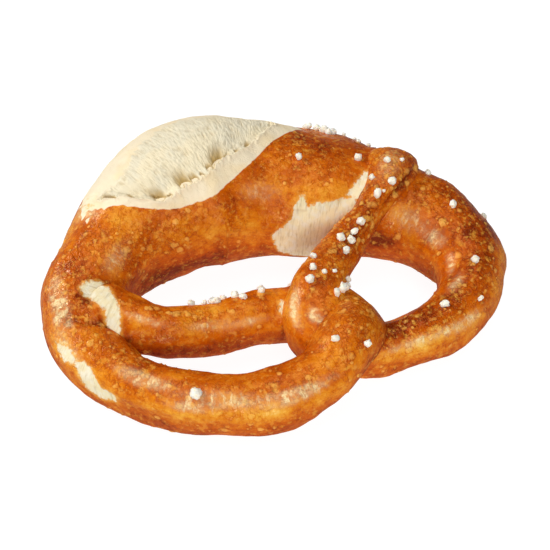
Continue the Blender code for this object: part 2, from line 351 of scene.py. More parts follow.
@dataclass
class Rope:
    """The rope of dough, as the CAD model sweeps it, in millimetres."""

    route: tuple[Station, ...] = ROUTE
    centre: tuple[float, float, float] = (1.1, -10.1, 0.0)
    samples: int = 2000
    press: float = 1.5
    fullness: float = 0.08
    resting_below: float = 1.0
    free_above: float = 3.0
    tip_end: float = 0.14
    burst_swell: float = 1.6
    burst_full_width: float = 60.0
    crumb_depth: float = 3.0
    crumb_step: float = 7.0
    foot_softness: float = 0.25
    far: float = 20.0
    fine: Rings = field(init=False)

    def __post_init__(self) -> None:
        """Works out the fine rings from the route."""
        stations = np.array([[s.x, s.y, s.z, s.half_width, s.half_height] for s in self.route], float)
        knots = path_length(stations[:, :3])
        rows = hermite(stations, knots, np.linspace(0, knots[-1], self.samples))
        centre = rows[:, :3] + self.centre
        ahead = unit(np.gradient(centre, axis=0))
        side = unit(np.cross(ahead, [0, 0, 1.0]))
        up = np.cross(side, ahead)
        self.fine = Rings(path_length(rows[:, :3]), centre, side, up, rows[:, 3], rows[:, 4])

    @property
    def length(self) -> float:
        """The rope's length in millimetres."""
        return float(self.fine.along[-1])

    def rings(self, along: Array) -> Rings:
        """The rope's rings at some distances, read from its fine ones.

        Args:
            along: Distances along the rope.

        Returns:
            The rings there.
        """

        def read(rows: Array) -> Array:
            columns = rows.reshape(len(rows), -1).T
            return np.stack([np.interp(along, self.fine.along, column) for column in columns], 1)

        fine = self.fine
        width, height = read(fine.half_width), read(fine.half_height)
        return Rings(along, read(fine.centre), unit(read(fine.side)), unit(read(fine.up)), width, height)

    def radius(self, along: Array) -> Array:
        """The mean radius of the rope at each ring, as a column."""
        rings = self.rings(along)
        return 0.5 * (rings.half_width + rings.half_height)

    def burst_relief(self, along: Array, around: Array) -> Array:
        """How far the burst lifts the section: a low dome, half a sine wave across the burst.

        Args:
            along: Distances along the rope.
            around: Angles.

        Returns:
            Heights in millimetres.
        """
        width, across = BURST.across(along, around)
        swell = self.burst_swell * np.minimum(1, width / self.burst_full_width)
        return BURST.inside(along) * swell * np.sin(pi * across)

    def crumb_recess(self, grid: Grid) -> Array:
        """How far the crumb lies below the skin: a step at its front edge that runs out towards the back."""
        step = smooth(0, self.crumb_step, CRUMB.front.at(grid.along) - grid.around)
        return CRUMB.inside(grid.along) * self.crumb_depth * step * CRUMB.across(grid.along, grid.around)[1]

    def surface(self, along: Array, around: Array) -> Array:
        """Points of the rope's skin: an ellipse round each ring, lifted by the burst and flat where it rests.

        Args:
            along: Distances along the rope.
            around: Angles in degrees.

        Returns:
            Points in millimetres, rings by angles by three.
        """
        rings = self.rings(along)
        angle = np.radians(around)[None]
        across, rise = np.sin(angle), np.cos(angle)
        clearance = rings.centre[:, 2:3] - rings.half_height
        resting = np.clip((self.free_above - clearance) / (self.free_above - self.resting_below), 0, 1)
        lower = rings.half_height + resting * np.maximum(0, clearance + self.press)
        reach = np.where(rise > 0, rings.half_height, lower)
        fuller = 1 + resting * self.fullness * np.clip(-rise, 0, 1) * np.abs(across)
        from_tip = np.clip(np.minimum(along, self.length - along)[:, None] / rings.half_width, 0, 1)
        taper = np.sqrt(np.clip(1 - (1 - from_tip) ** 2, self.tip_end**2, 1))
        lift = self.burst_relief(along, around)
        x = (rings.half_width * taper * fuller + lift) * across
        y = (reach * taper * fuller + lift) * rise
        return rings.centre[:, None] + x[..., None] * rings.side[:, None] + y[..., None] * rings.up[:, None]

    def rest(self, points: Array) -> Array:
        """The points with the foot pressed flat on the table: a soft maximum of each height and 0.

        Args:
            points: Points in millimetres.

        Returns:
            The points, none below the table.
        """
        resting = points.copy()
        height = points[..., 2]
        resting[..., 2] = 0.5 * (height + np.sqrt(height**2 + self.foot_softness**2)) - self.foot_softness / 4
        return resting

    def gap(self, points: Array, along: Array, apart: float = 34.0, step: float = 2.5) -> Array:
        """How far each point lies from the rope's other strands, in millimetres, and less than 0 inside them.

        Each ring is taken as a thin slice of an ellipse: the distance is that from the ring's centre, less its
        share that lies inside the ellipse, and rings that aren't level with the point don't count.

        Args:
            points: Rings of points.
            along: Their distances along the rope.
            apart: Rings nearer along the rope than this belong to the same strand.
            step: Distance between the rings that are tried.

        Returns:
            One distance for each point, far at most.
        """
        others = self.rings(np.arange(0, self.length, step))
        nearest = np.full(points.shape[:2], self.far)
        ahead = np.cross(others.up, others.side)
        for k in range(len(others.along)):
            rows = np.nonzero(np.abs(along - others.along[k]) > apart)[0]
            offset = points[rows] - others.centre[k]
            close = np.abs(offset @ ahead[k]) < step
            wide, high = others.half_width[k], others.half_height[k]
            share = np.sqrt((offset @ others.side[k] / wide) ** 2 + (offset @ others.up[k] / high) ** 2)
            distance = np.linalg.norm(offset, axis=-1) * (1 - 1 / np.maximum(share, 0.2))
            nearest[rows] = np.where(close, np.minimum(nearest[rows], distance), nearest[rows])
        return nearest

    def grid(self, along: Array, around: Array, closed: bool) -> Grid:
        """The rope's plain skin as a grid.

        Args:
            along: Distances along the rope.
            around: Angles.
            closed: Whether each ring joins its own start. Only such a grid gets its gaps worked out.

        Returns:
            The grid.
        """
        points = self.surface(along, around)
        gap = self.gap(points, along) if closed else np.full(points.shape[:2], self.far)
        return Grid(along, around, self.radius(along), points, grid_normals(points, closed), gap, closed)


@dataclass(frozen=True)
class Tone:
    """A soft spot on the rope: its place, its radii along and round it, and the amount that it adds there."""

    name: str
    along: float
    around: float
    long: float
    wide: float
    amount: float

    def weight(self, along: Array, around: Array) -> Array:
        """The spot's strength at each point: exp(-x^2 - y^2), with x and y in the spot's own radii.

        Args:
            along: Distances along the rope.
            around: Angles.

        Returns:
            Strengths, 0 to 1.
        """
        x = (along - self.along)[:, None] / self.long
        y = (around - self.around)[None] / self.wide
        return np.exp(-(x**2) - y**2)


def spread(spots: tuple[Tone, ...], along: Array, around: Array) -> Array:
    """What some spots add up to at each point."""
    return sum(spot.amount * spot.weight(along, around) for spot in spots)


@dataclass(frozen=True)
class Line:
    """A line on the rope through some places, each (millimetres along, degrees round)."""

    name: str
    points: tuple[Pair, ...]

    def distance(self, grid: Grid, closed: bool = False) -> Array:
        """How far each point of a grid lies from the line, in millimetres round and along the rope.

        The distance to a segment is that to its nearest point, a + t(b - a) with t kept between 0 and 1.

        Args:
            grid: The grid.
            closed: Whether the line's end joins its start.

        Returns:
            Distances, rings by angles.
        """
        arc, degree = grid.arc, grid.degree
        best = np.full(arc.shape, np.inf)
        ends = self.points[1:] + (self.points[:1] if closed else ())
        for (s, a), (end_s, end_a) in zip(self.points, ends):
            step_x, step_y = end_s - s, (end_a - a) * degree
            x, y = grid.along[:, None] - s, arc - a * degree
            t = np.clip((x * step_x + y * step_y) / (step_x**2 + step_y**2), 0, 1)
            best = np.minimum(best, np.hypot(x - t * step_x, y - t * step_y))
        return best

    def depth(self, grid: Grid) -> Array:
        """How far each point lies inside the closed line, in millimetres, and less than 0 outside.

        A point is inside where a ray from it crosses the outline an odd number of times.

        Args:
            grid: The grid.

        Returns:
            Depths, rings by angles.
        """
        arc = grid.arc
        inside = np.zeros(arc.shape, bool)
        for (s, a), (end_s, end_a) in zip(self.points, self.points[1:] + self.points[:1]):
            low, high = a * grid.degree, end_a * grid.degree
            crosses = (low > arc) != (high > arc)
            rise = np.where(high == low, 1.0, high - low)
            inside ^= crosses & (grid.along[:, None] < (end_s - s) * (arc - low) / rise + s)
        distance = self.distance(grid, True)
        return np.where(inside, distance, -distance)


@dataclass(frozen=True)
class Crease:
    """A groove in the crust along a line: half width and depth in millimetres, and the painted shade in it."""

    line: Line
    width: float
    depth: float
    painted_shade: float


# How much darker the crust is, or lighter where the amount is below 0: mostly how it is baked, with painted
# shade on the belly's inner edge and a painted shadow in the belly's hollow by the arm.
TONES = (
    Tone("left neck", 256, 4, 12, 34, 0.14),
    Tone("left neck inside", 262, 92, 20, 34, 0.16),
    Tone("belly under the lip", 330, 60, 16, 10, 0.14),
    Tone("belly crest", 366, -22, 24, 26, 0.24),
    # Partly baked, partly painted shade on the belly's lower inner edge.
    Tone("belly inner edge", 300, 104, 40, 14, 0.18),
    Tone("belly above the patch", 366, 40, 10, 12, -0.30),
    Tone("belly beside the arm", 401, 50, 11, 18, -0.02),
    # Painted shadow under the arm, in the belly's hollow beside it.
    Tone("belly hollow by the arm", 394, 84, 10, 16, 0.55),
    Tone("right loop inner face", 420, 52, 16, 18, 0.20),
    Tone("right loop ridge", 430, -10, 30, 40, 0.35),
    Tone("right loop front ridge", 478, 6, 24, 36, 0.30),
    Tone("right loop front face", 484, -58, 16, 16, -0.20),
    Tone("twist lobe", 114, 0, 12, 50, 0.06),
    Tone("left loop ridge", 180, 40, 50, 26, 0.24),
    Tone("left loop front face", 160, -64, 32, 16, -0.16),
    Tone("left loop side", 214, -50, 12, 20, -0.12),
    Tone("left arm face", 48, 30, 20, 20, -0.04),
    Tone("left arm underside", 32, 84, 30, 26, 0.28),
    Tone("left arm's root, lower side", 20, 62, 12, 20, 0.16),
    Tone("twist bulge", 522, -40, 12, 40, -0.02),
    Tone("right arm spine", 556, 24, 20, 36, 0.30),
    Tone("right arm tip side", 590, 64, 12, 20, 0.22),
)

# How high the wrinkles stand, in millimetres.
WRINKLES = (
    Tone("left shoulder", 240, -24, 12, 26, 0.30),
    Tone("right arm tip", 592, 10, 14, 60, 0.26),
    Tone("left loop front", 160, -56, 30, 30, 0.16),
    Tone("right loop", 450, 0, 40, 60, 0.10),
    Tone("belly right", 400, 20, 16, 30, 0.10),
    Tone("belly left", 300, 70, 40, 24, 0.06),
)

# How thickly blisters stand, as a share of the places for them.
CROWDS = (
    Tone("left neck", 264, 30, 12, 34, 0.55),
    Tone("belly left", 284, 62, 16, 16, 0.50),
    Tone("belly middle", 320, 70, 8, 12, 0.70),
    Tone("belly crest", 356, 0, 16, 26, 0.40),
    Tone("right shoulder", 410, 0, 16, 34, 0.40),
    Tone("right loop", 450, -10, 30, 44, 0.42),
    Tone("right loop front", 480, -14, 14, 40, 0.32),
    Tone("twist lobe", 114, 0, 14, 60, 0.45),
    Tone("left loop top", 208, 0, 22, 50, 0.45),
    Tone("left loop front", 160, -34, 36, 22, 0.40),
    Tone("left shoulder", 238, -20, 14, 40, 0.55),
    Tone("left arm", 38, 10, 22, 30, 0.30),
    Tone("right arm", 556, 10, 24, 70, 0.75),
    Tone("right arm tip", 590, 10, 16, 80, 0.80),
)

# How much further two strands are baked together than elsewhere, in millimetres.
WELDS = (
    Tone("arm foot and lobe, arm side", 530, 60, 14, 50, 9.0),
    Tone("arm foot and lobe, lobe side", 104, -40, 14, 60, 6.0),
    Tone("left arm root", 14, 40, 16, 90, 2.2),
    Tone("right loop under the lobe", 485, 24, 10, 40, -2.4),
    Tone("right arm tip", 598, 80, 12, 60, 6.0),
    Tone("right arm tip, far side", 600, -80, 10, 60, 5.0),
    Tone("right arm over the belly", 570, 0, 18, 300, -3.6),
    Tone("arm foot, outer side", 540, -70, 14, 60, -3.0),
)

# How far the skin swells, or sinks where the amount is below 0, in millimetres.
SWELLS = (
    Tone("burst's top", 325, -30, 22, 24, 1.1),
    Tone("right loop, outer side", 430, -48, 13, 24, -1.1),
    Tone("right loop, lower side", 467, -112, 16, 34, 1.0),
    Tone("lower loop, lower side", 195, -98, 14, 30, -1.5),
    Tone("belly's lower edge at the arm's root", 261, 98, 9, 16, -1.1),
    Tone("left arm's root, upper side", 20, -34, 7, 20, -1.1),
    Tone("left loop beside the arm", 203, 62, 8, 14, -0.9),
    Tone("right loop under the lobe", 481, 44, 8, 20, -1.2),
    Tone("right loop's inner edge", 425, 108, 14, 20, -0.9),
    Tone("left shoulder, outer side", 249, -46, 9, 24, 0.8),
    Tone("right shoulder's top", 403, -26, 9, 20, 0.9),
    Tone("lobe's outer side", 105, -60, 8, 26, -0.8),
    Tone("arm foot's outer side", 539, -69, 8, 24, -0.8),
)

# How strongly the crust is drawn out into pale streaks, and where painted sheen and highlights lie on it.
STREAKS_AND_SHEENS = (
    Tone("belly beside the arm, sheen", 405, 48, 12, 16, 0.42),
    Tone("right loop inner face, sheen", 422, 48, 6, 12, 0.55),
    Tone("right loop inner edge, sheen", 441, 43, 7, 10, 0.60),
    Tone("left loop outer side", 221, -50, 7, 12, 0.75),
    Tone("belly left, sheen", 258, 40, 8, 14, 0.42),
    Tone("belly middle, sheen", 336, 46, 10, 9, 0.36),
    Tone("left arm, sheen", 23, 28, 7, 9, 0.55),
    Tone("left arm by the twist, sheen", 58, 48, 7, 9, 0.50),
    Tone("burst tip", 271, -30, 4, 20, 0.80),
    Tone("left shoulder", 236, -30, 9, 14, 0.95),
    Tone("lower loop left", 195, -20, 8, 14, 0.90),
    Tone("lower loop front, sheen", 179, -54, 7, 9, 0.60),
    Tone("lower loop middle", 170, -34, 11, 14, 0.75),
    Tone("lower loop right", 146, -46, 12, 14, 0.85),
    Tone("right loop front", 478, -54, 14, 12, 0.60),
    Tone("right loop inner side", 453, 16, 6, 12, 0.60),
    Tone("right loop outer side", 462, -62, 7, 12, 0.55),
    Tone("left arm middle", 44, 36, 8, 12, 0.45),
    Tone("twist bulge", 524, -38, 5, 14, 1.10),
    Tone("arm foot's ridge", 520, 8, 3, 14, 0.80),
    Tone("arm tip", 592, 0, 9, 40, 0.40),
)

# Outlines of the places where the crust tore off pale.
PATCHES = (
    Line("belly face by the arm", (
        (342, 88), (347, 78), (351, 68), (352, 58), (354, 47), (356, 46), (358, 56), (362, 51), (368, 49),
        (373, 44), (377, 42), (386, 60), (380, 100), (368, 124), (354, 122), (346, 110),
    )),
    Line("belly strip beside the arm", ((374, 40), (377, 26), (379, 12), (381, 10), (382.5, 26), (381, 42))),
    Line("left shoulder", ((241, 4), (243, 15), (245, 30), (243, 44), (231, 46), (233, 31), (237, 10))),
    Line("left arm root", (
        (-2, -14), (5.5, -28), (9, -5), (12, 13), (15.5, 43), (18.5, 82), (14, 84), (11, 50), (8, 32), (2, 24),
    )),
    Line("lower left loop", (
        (216.5, -56), (214.5, -46), (211, -46), (208.5, -58), (206, -72), (201, -74), (201.5, -92),
        (206.5, -101), (211, -98), (213.5, -78),
    )),
    Line("lower left loop, upper end", ((226, -60), (222, -45), (217, -50), (217.5, -60), (221, -70))),
    Line("left arm by the twist", ((70, 20), (74, 26), (75, 44), (72, 56), (69, 44))),
)

# Each crease's last number is the painted shade in its groove.
CREASES = (
    Crease(Line("shoulder fold", ((231, -20), (226, -1), (224, 22), (219, 42), (213, 60))), 1.5, 1.3, 0.24),
    Crease(Line("shoulder wrinkle", ((236, -38), (232, -28), (227, -24))), 0.8, 0.5, 0.16),
    Crease(Line("arm tip fold", ((578, 62), (586, 70), (596, 76))), 1.2, 0.9, 0.30),
)

# Each pit's distance along the rope and its half width, in millimetres.
PITS = ((277, 1.0), (281, 0.8), (289, 2.2), (292.5, 0.7), (301, 2.6), (305.5, 1.5), (309.5, 0.8), (314, 1.2),
        (318.5, 2.7), (322.5, 1.0), (331.5, 1.2), (327, 0.9))


@dataclass(frozen=True)
class Sheet:
    """A grid of points with normals, fields for the material, and distances along the rope and round it."""

    points: Array
    normals: Array
    fields: dict[str, Array]
    unrolled: Array
    closed: bool

    def part(self, rows: slice) -> "Sheet":
        """Some of the sheet's rings."""
        fields = {key: values[rows] for key, values in self.fields.items()}
        return Sheet(self.points[rows], self.normals[rows], fields, self.unrolled[rows], self.closed)


@dataclass
class Skin:
    """What is worked out on the rope's skin: its relief and the fields that the dough material reads.

    Each noise is given as its strength and its grain size in millimetres, and each end and slope as where a step
    starts and where it is done.
    """

    rope: Rope
    lumps: tuple[Pair, ...] = ((0.8, 21.0), (0.36, 9.0), (0.14, 3.6))
    blister_seed: int = 23
    blister_count: int = 2200
    blister_angle: float = 150.0
    blister_radius: Pair = (0.65, 1.30)
    large_share: float = 0.15
    large_radius: Pair = (1.3, 2.0)
    blister_rise: float = 0.40
    blister_margin: float = 1.3
    blister_power: float = 1.5
    lowest_blister: float = 0.4
    uneven_noise: Pair = (0.7, 1.2)
    plain_crowd: float = 0.16
    crowd_noise: Pair = (0.5, 11.0)
    weld: float = 5.0
    plain_wrinkle: float = 0.05
    wrinkle_grain: float = 4.2
    plain_bake: float = 0.41
    top_bake: float = 0.11
    top_slope: Pair = (0.3, 0.95)
    under_bake_and_shade: float = 0.28
    under_slope: Pair = (0.25, -0.35)
    bake_noise: Pair = (0.12, 26.0)
    weld_shade: float = 0.20
    weld_fade: float = 1.2
    lip_grain: Pair = (3.4, 2.2)
    ragged: float = 0.30
    ragged_left: float = 4.4
    left_end: Pair = (280.0, 270.0)
    ragged_right: float = 0.6
    right_end: Pair = (338.0, 352.0)
    low_slope: Pair = (0.4, -0.1)

    def __post_init__(self) -> None:
        """Draws the smooth and the rough noise."""
        self.noise = Noise(5)
        self.rough = Noise(6)

    def bumpy(self, points: Array, noise: Pair) -> Array:
        """The smooth noise at some points, with a strength and a grain size."""
        return noise[0] * self.noise.at(points / noise[1])

    def torn(self, grid: Grid, grain: Pair, shift: float = 0.0) -> Array:
        """The rough noise drawn out along or round the rope, and shifted to be unlike the others."""
        return self.rough.at(grid.grain(grain) + shift)

    def crowd(self, along: Array, around: Array) -> Array:
        """How thickly blisters stand, 0 to 1, from the crowds' spots."""
        return np.clip(self.plain_crowd + spread(CROWDS, along, around), 0, 1)

    def blisters(self, grid: Grid) -> Array:
        """Heights of the crust's blisters, 0 to 1: each is a dome (1 - (d/r)^2)^1.5 about its own centre.

        Noise makes the share (d/r)^2 uneven, and a blister is left out where few of them stand.

        Args:
            grid: The grid.

        Returns:
            One height for each point.
        """
        rng = np.random.default_rng(self.blister_seed)
        along, around = grid.along, grid.around
        height = np.zeros(grid.gap.shape)
        for _ in range(self.blister_count):
            s, a, large, size, keep, bright = rng.uniform(size=6)
            s, a = s * self.rope.length, (a * 2 - 1) * self.blister_angle
            low, high = self.large_radius if large < self.large_share else self.blister_radius
            r = low + size * size * (high - low)
            rows = slice(*np.searchsorted(along, [s - r, s + r]))
            ring = min(np.searchsorted(along, s), len(along) - 1)
            reach = np.degrees(r / grid.radius[ring, 0]) * self.blister_margin
            columns = slice(*np.searchsorted(around, [a - reach, a + reach]))
            window = grid.points[rows, columns]
            if not window.size:
                continue
            centre = grid.points[ring, min(np.searchsorted(around, a), len(around) - 1)]
            crowd = self.crowd(np.array([s]), np.array([a]))[0, 0]
            if keep > crowd + self.bumpy(centre, self.crowd_noise):
                continue
            uneven = 1 + self.bumpy(window, self.uneven_noise)
            share = np.sum((window - centre) ** 2, axis=-1) / r**2 * uneven
            rise = self.lowest_blister + (1 - self.lowest_blister) * bright
            dome = np.clip(1 - share, 0, 1) ** self.blister_power * rise
            height[rows, columns] = np.maximum(height[rows, columns], dome)
        return height

    def fillet(self, grid: Grid) -> Array:
        """How far the skin swells where strands have baked together, in millimetres.

        It is the smooth union's formula: h^2 k / 4, with h the share (k - gap) / k and k the weld's reach.

        Args:
            grid: The grid.

        Returns:
            One height for each point.
        """
        reach = self.weld + spread(WELDS, grid.along, grid.around)
        share = np.clip((reach - np.abs(grid.gap)) / reach, 0, 1)
        return share**2 * reach / 4

    def patches(self, grid: Grid) -> Array:
        """How far each point lies inside a pale patch, in millimetres: the largest of the patches' depths."""
        return np.maximum.reduce([patch.depth(grid) for patch in PATCHES])

    def creases(self, grid: Grid) -> tuple[Array, Array]:
        """The creases' depths in millimetres and their painted shade: each falls off as exp(-(d/width)^2).

        Args:
            grid: The grid.

        Returns:
            The depths and the painted shade.
        """
        depth, painted_shade = np.zeros(grid.gap.shape), np.zeros(grid.gap.shape)
        for crease in CREASES:
            fall = np.exp(-(crease.line.distance(grid) / crease.width) ** 2)
            depth += crease.depth * fall
            painted_shade += crease.painted_shade * fall
        return depth, painted_shade

    def relief(self, grid: Grid) -> Array:
        """Heights of the dough over its plain skin: swells, lumps and wrinkles, less the creases.

        The wrinkles are ridged noise, 1 - 2|n|, and the spots say how high they stand.

        Args:
            grid: The grid.

        Returns:
            One height for each point.
        """
        strength = self.plain_wrinkle + spread(WRINKLES, grid.along, grid.around)
        wrinkles = strength * (0.5 - 2 * np.abs(self.noise.layered(grid.points, self.wrinkle_grain, 2)))
        lumps = sum(self.bumpy(grid.points, lump) for lump in self.lumps)
        return spread(SWELLS, grid.along, grid.around) + lumps + wrinkles - self.creases(grid)[0]

    def bake_and_shade(self, grid: Grid) -> Array:
        """How dark the crust is, about 0 to 1: more on top, underneath, in welds, in creases and in spots.

        On top and in most spots that is how it is baked. Underneath it is partly baked and partly painted shade;
        where strands touch and in the creases it is painted shade, and so is the spot in the belly's hollow by
        the arm.

        Args:
            grid: The grid.

        Returns:
            One number for each point.
        """
        slope = grid.normals[..., 2]
        strength, grain = self.bake_noise
        tone = self.plain_bake + self.top_bake * smooth(*self.top_slope, slope)
        # Darker underneath: partly how it is baked, and partly painted shade where the underside gets little
        # light.
        tone += self.under_bake_and_shade * smooth(*self.under_slope, slope)
        tone += strength * self.noise.layered(grid.points, grain, 2)
        # Painted shade where strands touch, fading as they part.
        tone += self.weld_shade * np.exp(-np.clip(grid.gap, 0, None) / self.weld_fade)
        return tone + spread(TONES, grid.along, grid.around) + self.creases(grid)[1]

    def burst(self, grid: Grid) -> Array:
        """The depth inside the burst with its edge torn: noise is added to it, and more at the burst's ends.

        Args:
            grid: The grid.

        Returns:
            Depths, rings by angles.
        """
        left = self.ragged_left * smooth(*self.left_end, grid.along)[:, None]
        right = self.ragged_right * smooth(*self.right_end, grid.along)[:, None]
        return BURST.depth(grid) + (self.ragged + left + right) * self.torn(grid, self.lip_grain)

    def sheet(self, grid: Grid, height: Array, fields: dict[str, Array]) -> Sheet:
        """The sheet of a grid whose points are moved outwards, and a closed one pressed flat on the table.

        Args:
            grid: The grid.
            height: How far each point moves.
            fields: The fields that are the sheet's own, to which those that every sheet has are added.

        Returns:
            The sheet.
        """
        points = grid.points + grid.normals * height[..., None]
        if grid.closed:
            points = self.rope.rest(points)
        # These fields hold painted shade within the crust's darkness, and painted sheen with its pale streaks.
        shared = {
            "bake_and_shade": self.bake_and_shade(grid), "low": smooth(*self.low_slope, grid.normals[..., 2]),
            "crowd": self.crowd(grid.along, grid.around),
            "streak_and_sheen": np.clip(spread(STREAKS_AND_SHEENS, grid.along, grid.around), 0, 1),
        }
        return Sheet(points, grid_normals(points, grid.closed), shared | fields, grid.unrolled, grid.closed)


class MeshMaker:
    """Makes Blender meshes from sheets of points."""

    @staticmethod
    def faces(rings: int, sides: int, closed: bool) -> Array:
        """Corner numbers of a grid's quads, which turn outwards.

        Args:
            rings: Number of rings.
            sides: Points a ring.
            closed: Whether each ring joins its own start.

        Returns:
            Four corner numbers a quad.
        """
        number = np.arange(rings * sides).reshape(rings, sides)
        here = number if closed else number[:, :-1]
        following = np.roll(number, -1, axis=1) if closed else number[:, 1:]
        return np.stack([here[:-1], following[:-1], following[1:], here[1:]], -1).reshape(-1, 4)

    @staticmethod
    def fan(ring: Array, centre: int, flip: bool) -> Array:
        """Corner numbers of the triangles that join a ring to its middle point.

        Args:
            ring: The ring's point numbers.
            centre: The middle point's number.
            flip: Whether the ring is the sheet's first one.

        Returns:
            Three corner numbers a triangle.
        """
        following = np.roll(ring, -1)
        first, second = (following, ring) if flip else (ring, following)
        return np.stack([first, second, np.full(len(ring), centre)], -1)

    @classmethod
    def make(cls, name: str, sheet: Sheet) -> bpy.types.Object:
        """An object for a sheet, with closed ends, its fields as point attributes and its unrolled map as UVs.

        Args:
            name: The piece's name.
            sheet: The sheet, in millimetres.

        Returns:
            The object, at the origin.
        """
        rings, sides = sheet.points.shape[:2]
        points = sheet.points.reshape(-1, 3)
        normals = sheet.normals.reshape(-1, 3)
        quads = cls.faces(rings, sides, sheet.closed)
        triangles = np.empty((0, 3), int)
        if sheet.closed:
            middles = np.stack([sheet.points[0].mean(0), sheet.points[-1].mean(0)])
            outward = unit(np.stack([points[0] - points[sides], points[-1] - points[-1 - sides]]))
            first, last = np.arange(sides), np.arange(sides) + (rings - 1) * sides
            triangles = np.concatenate([
                cls.fan(first, len(points), True),
                cls.fan(last, len(points) + 1, False),
            ])
            points = np.concatenate([points, middles])
            normals = np.concatenate([normals, outward])
        mesh = bpy.data.meshes.new(name)
        corners = np.concatenate([quads.ravel(), triangles.ravel()]).astype(np.int32)
        starts = np.concatenate([np.arange(len(quads)) * 4, len(quads) * 4 + np.arange(len(triangles)) * 3])
        mesh.vertices.add(len(points))
        mesh.loops.add(len(corners))
        mesh.polygons.add(len(starts))
        mesh.vertices.foreach_set("co", (points * MM).astype(np.float32).ravel())
        mesh.loops.foreach_set("vertex_index", corners)
        mesh.polygons.foreach_set("loop_start", starts.astype(np.int32))
        mesh.update(calc_edges=True)
        mesh.shade_smooth()
        mesh.normals_split_custom_set_from_vertices(normals)
        for key, values in sheet.fields.items():
            flat = values.reshape(-1)
            if sheet.closed:
                flat = np.concatenate([flat, [flat[0], flat[-1]]])
            mesh.attributes.new(key, "FLOAT", "POINT").data.foreach_set("value", flat.astype(np.float32))
        cls.unroll(mesh, sheet, quads, triangles)
        return add_object(name, mesh)

    @staticmethod
    def unroll(mesh: bpy.types.Mesh, sheet: Sheet, quads: Array, triangles: Array) -> None:
        """Gives the mesh a UV map of decimetres along the rope and round it, with no jump at its seam.

        Args:
            mesh: The mesh.
            sheet: Its sheet.
            quads: Corner numbers of the quads.
            triangles: Corner numbers of the triangles at the ends.
        """
        rings, sides = sheet.points.shape[:2]
        flat = sheet.unrolled.reshape(-1, 2)
        corners = flat[quads]
        if sheet.closed:
            wraps = np.arange(len(quads)) % sides == sides - 1
            girth = sheet.unrolled[:, -1, 1] - sheet.unrolled[:, 0, 1]
            turn = (girth * (1 + 1 / sides))[np.nonzero(wraps)[0] // sides]
            corners[wraps, 1, 1] += turn
            corners[wraps, 2, 1] += turn
            flat = np.concatenate([flat, flat[:1], flat[-1:]])
        layer = mesh.uv_layers.new(name="unrolled")
        values = np.concatenate([corners.reshape(-1, 2), flat[triangles].reshape(-1, 2)]) / 100
        layer.data.foreach_set("uv", values.astype(np.float32).ravel())


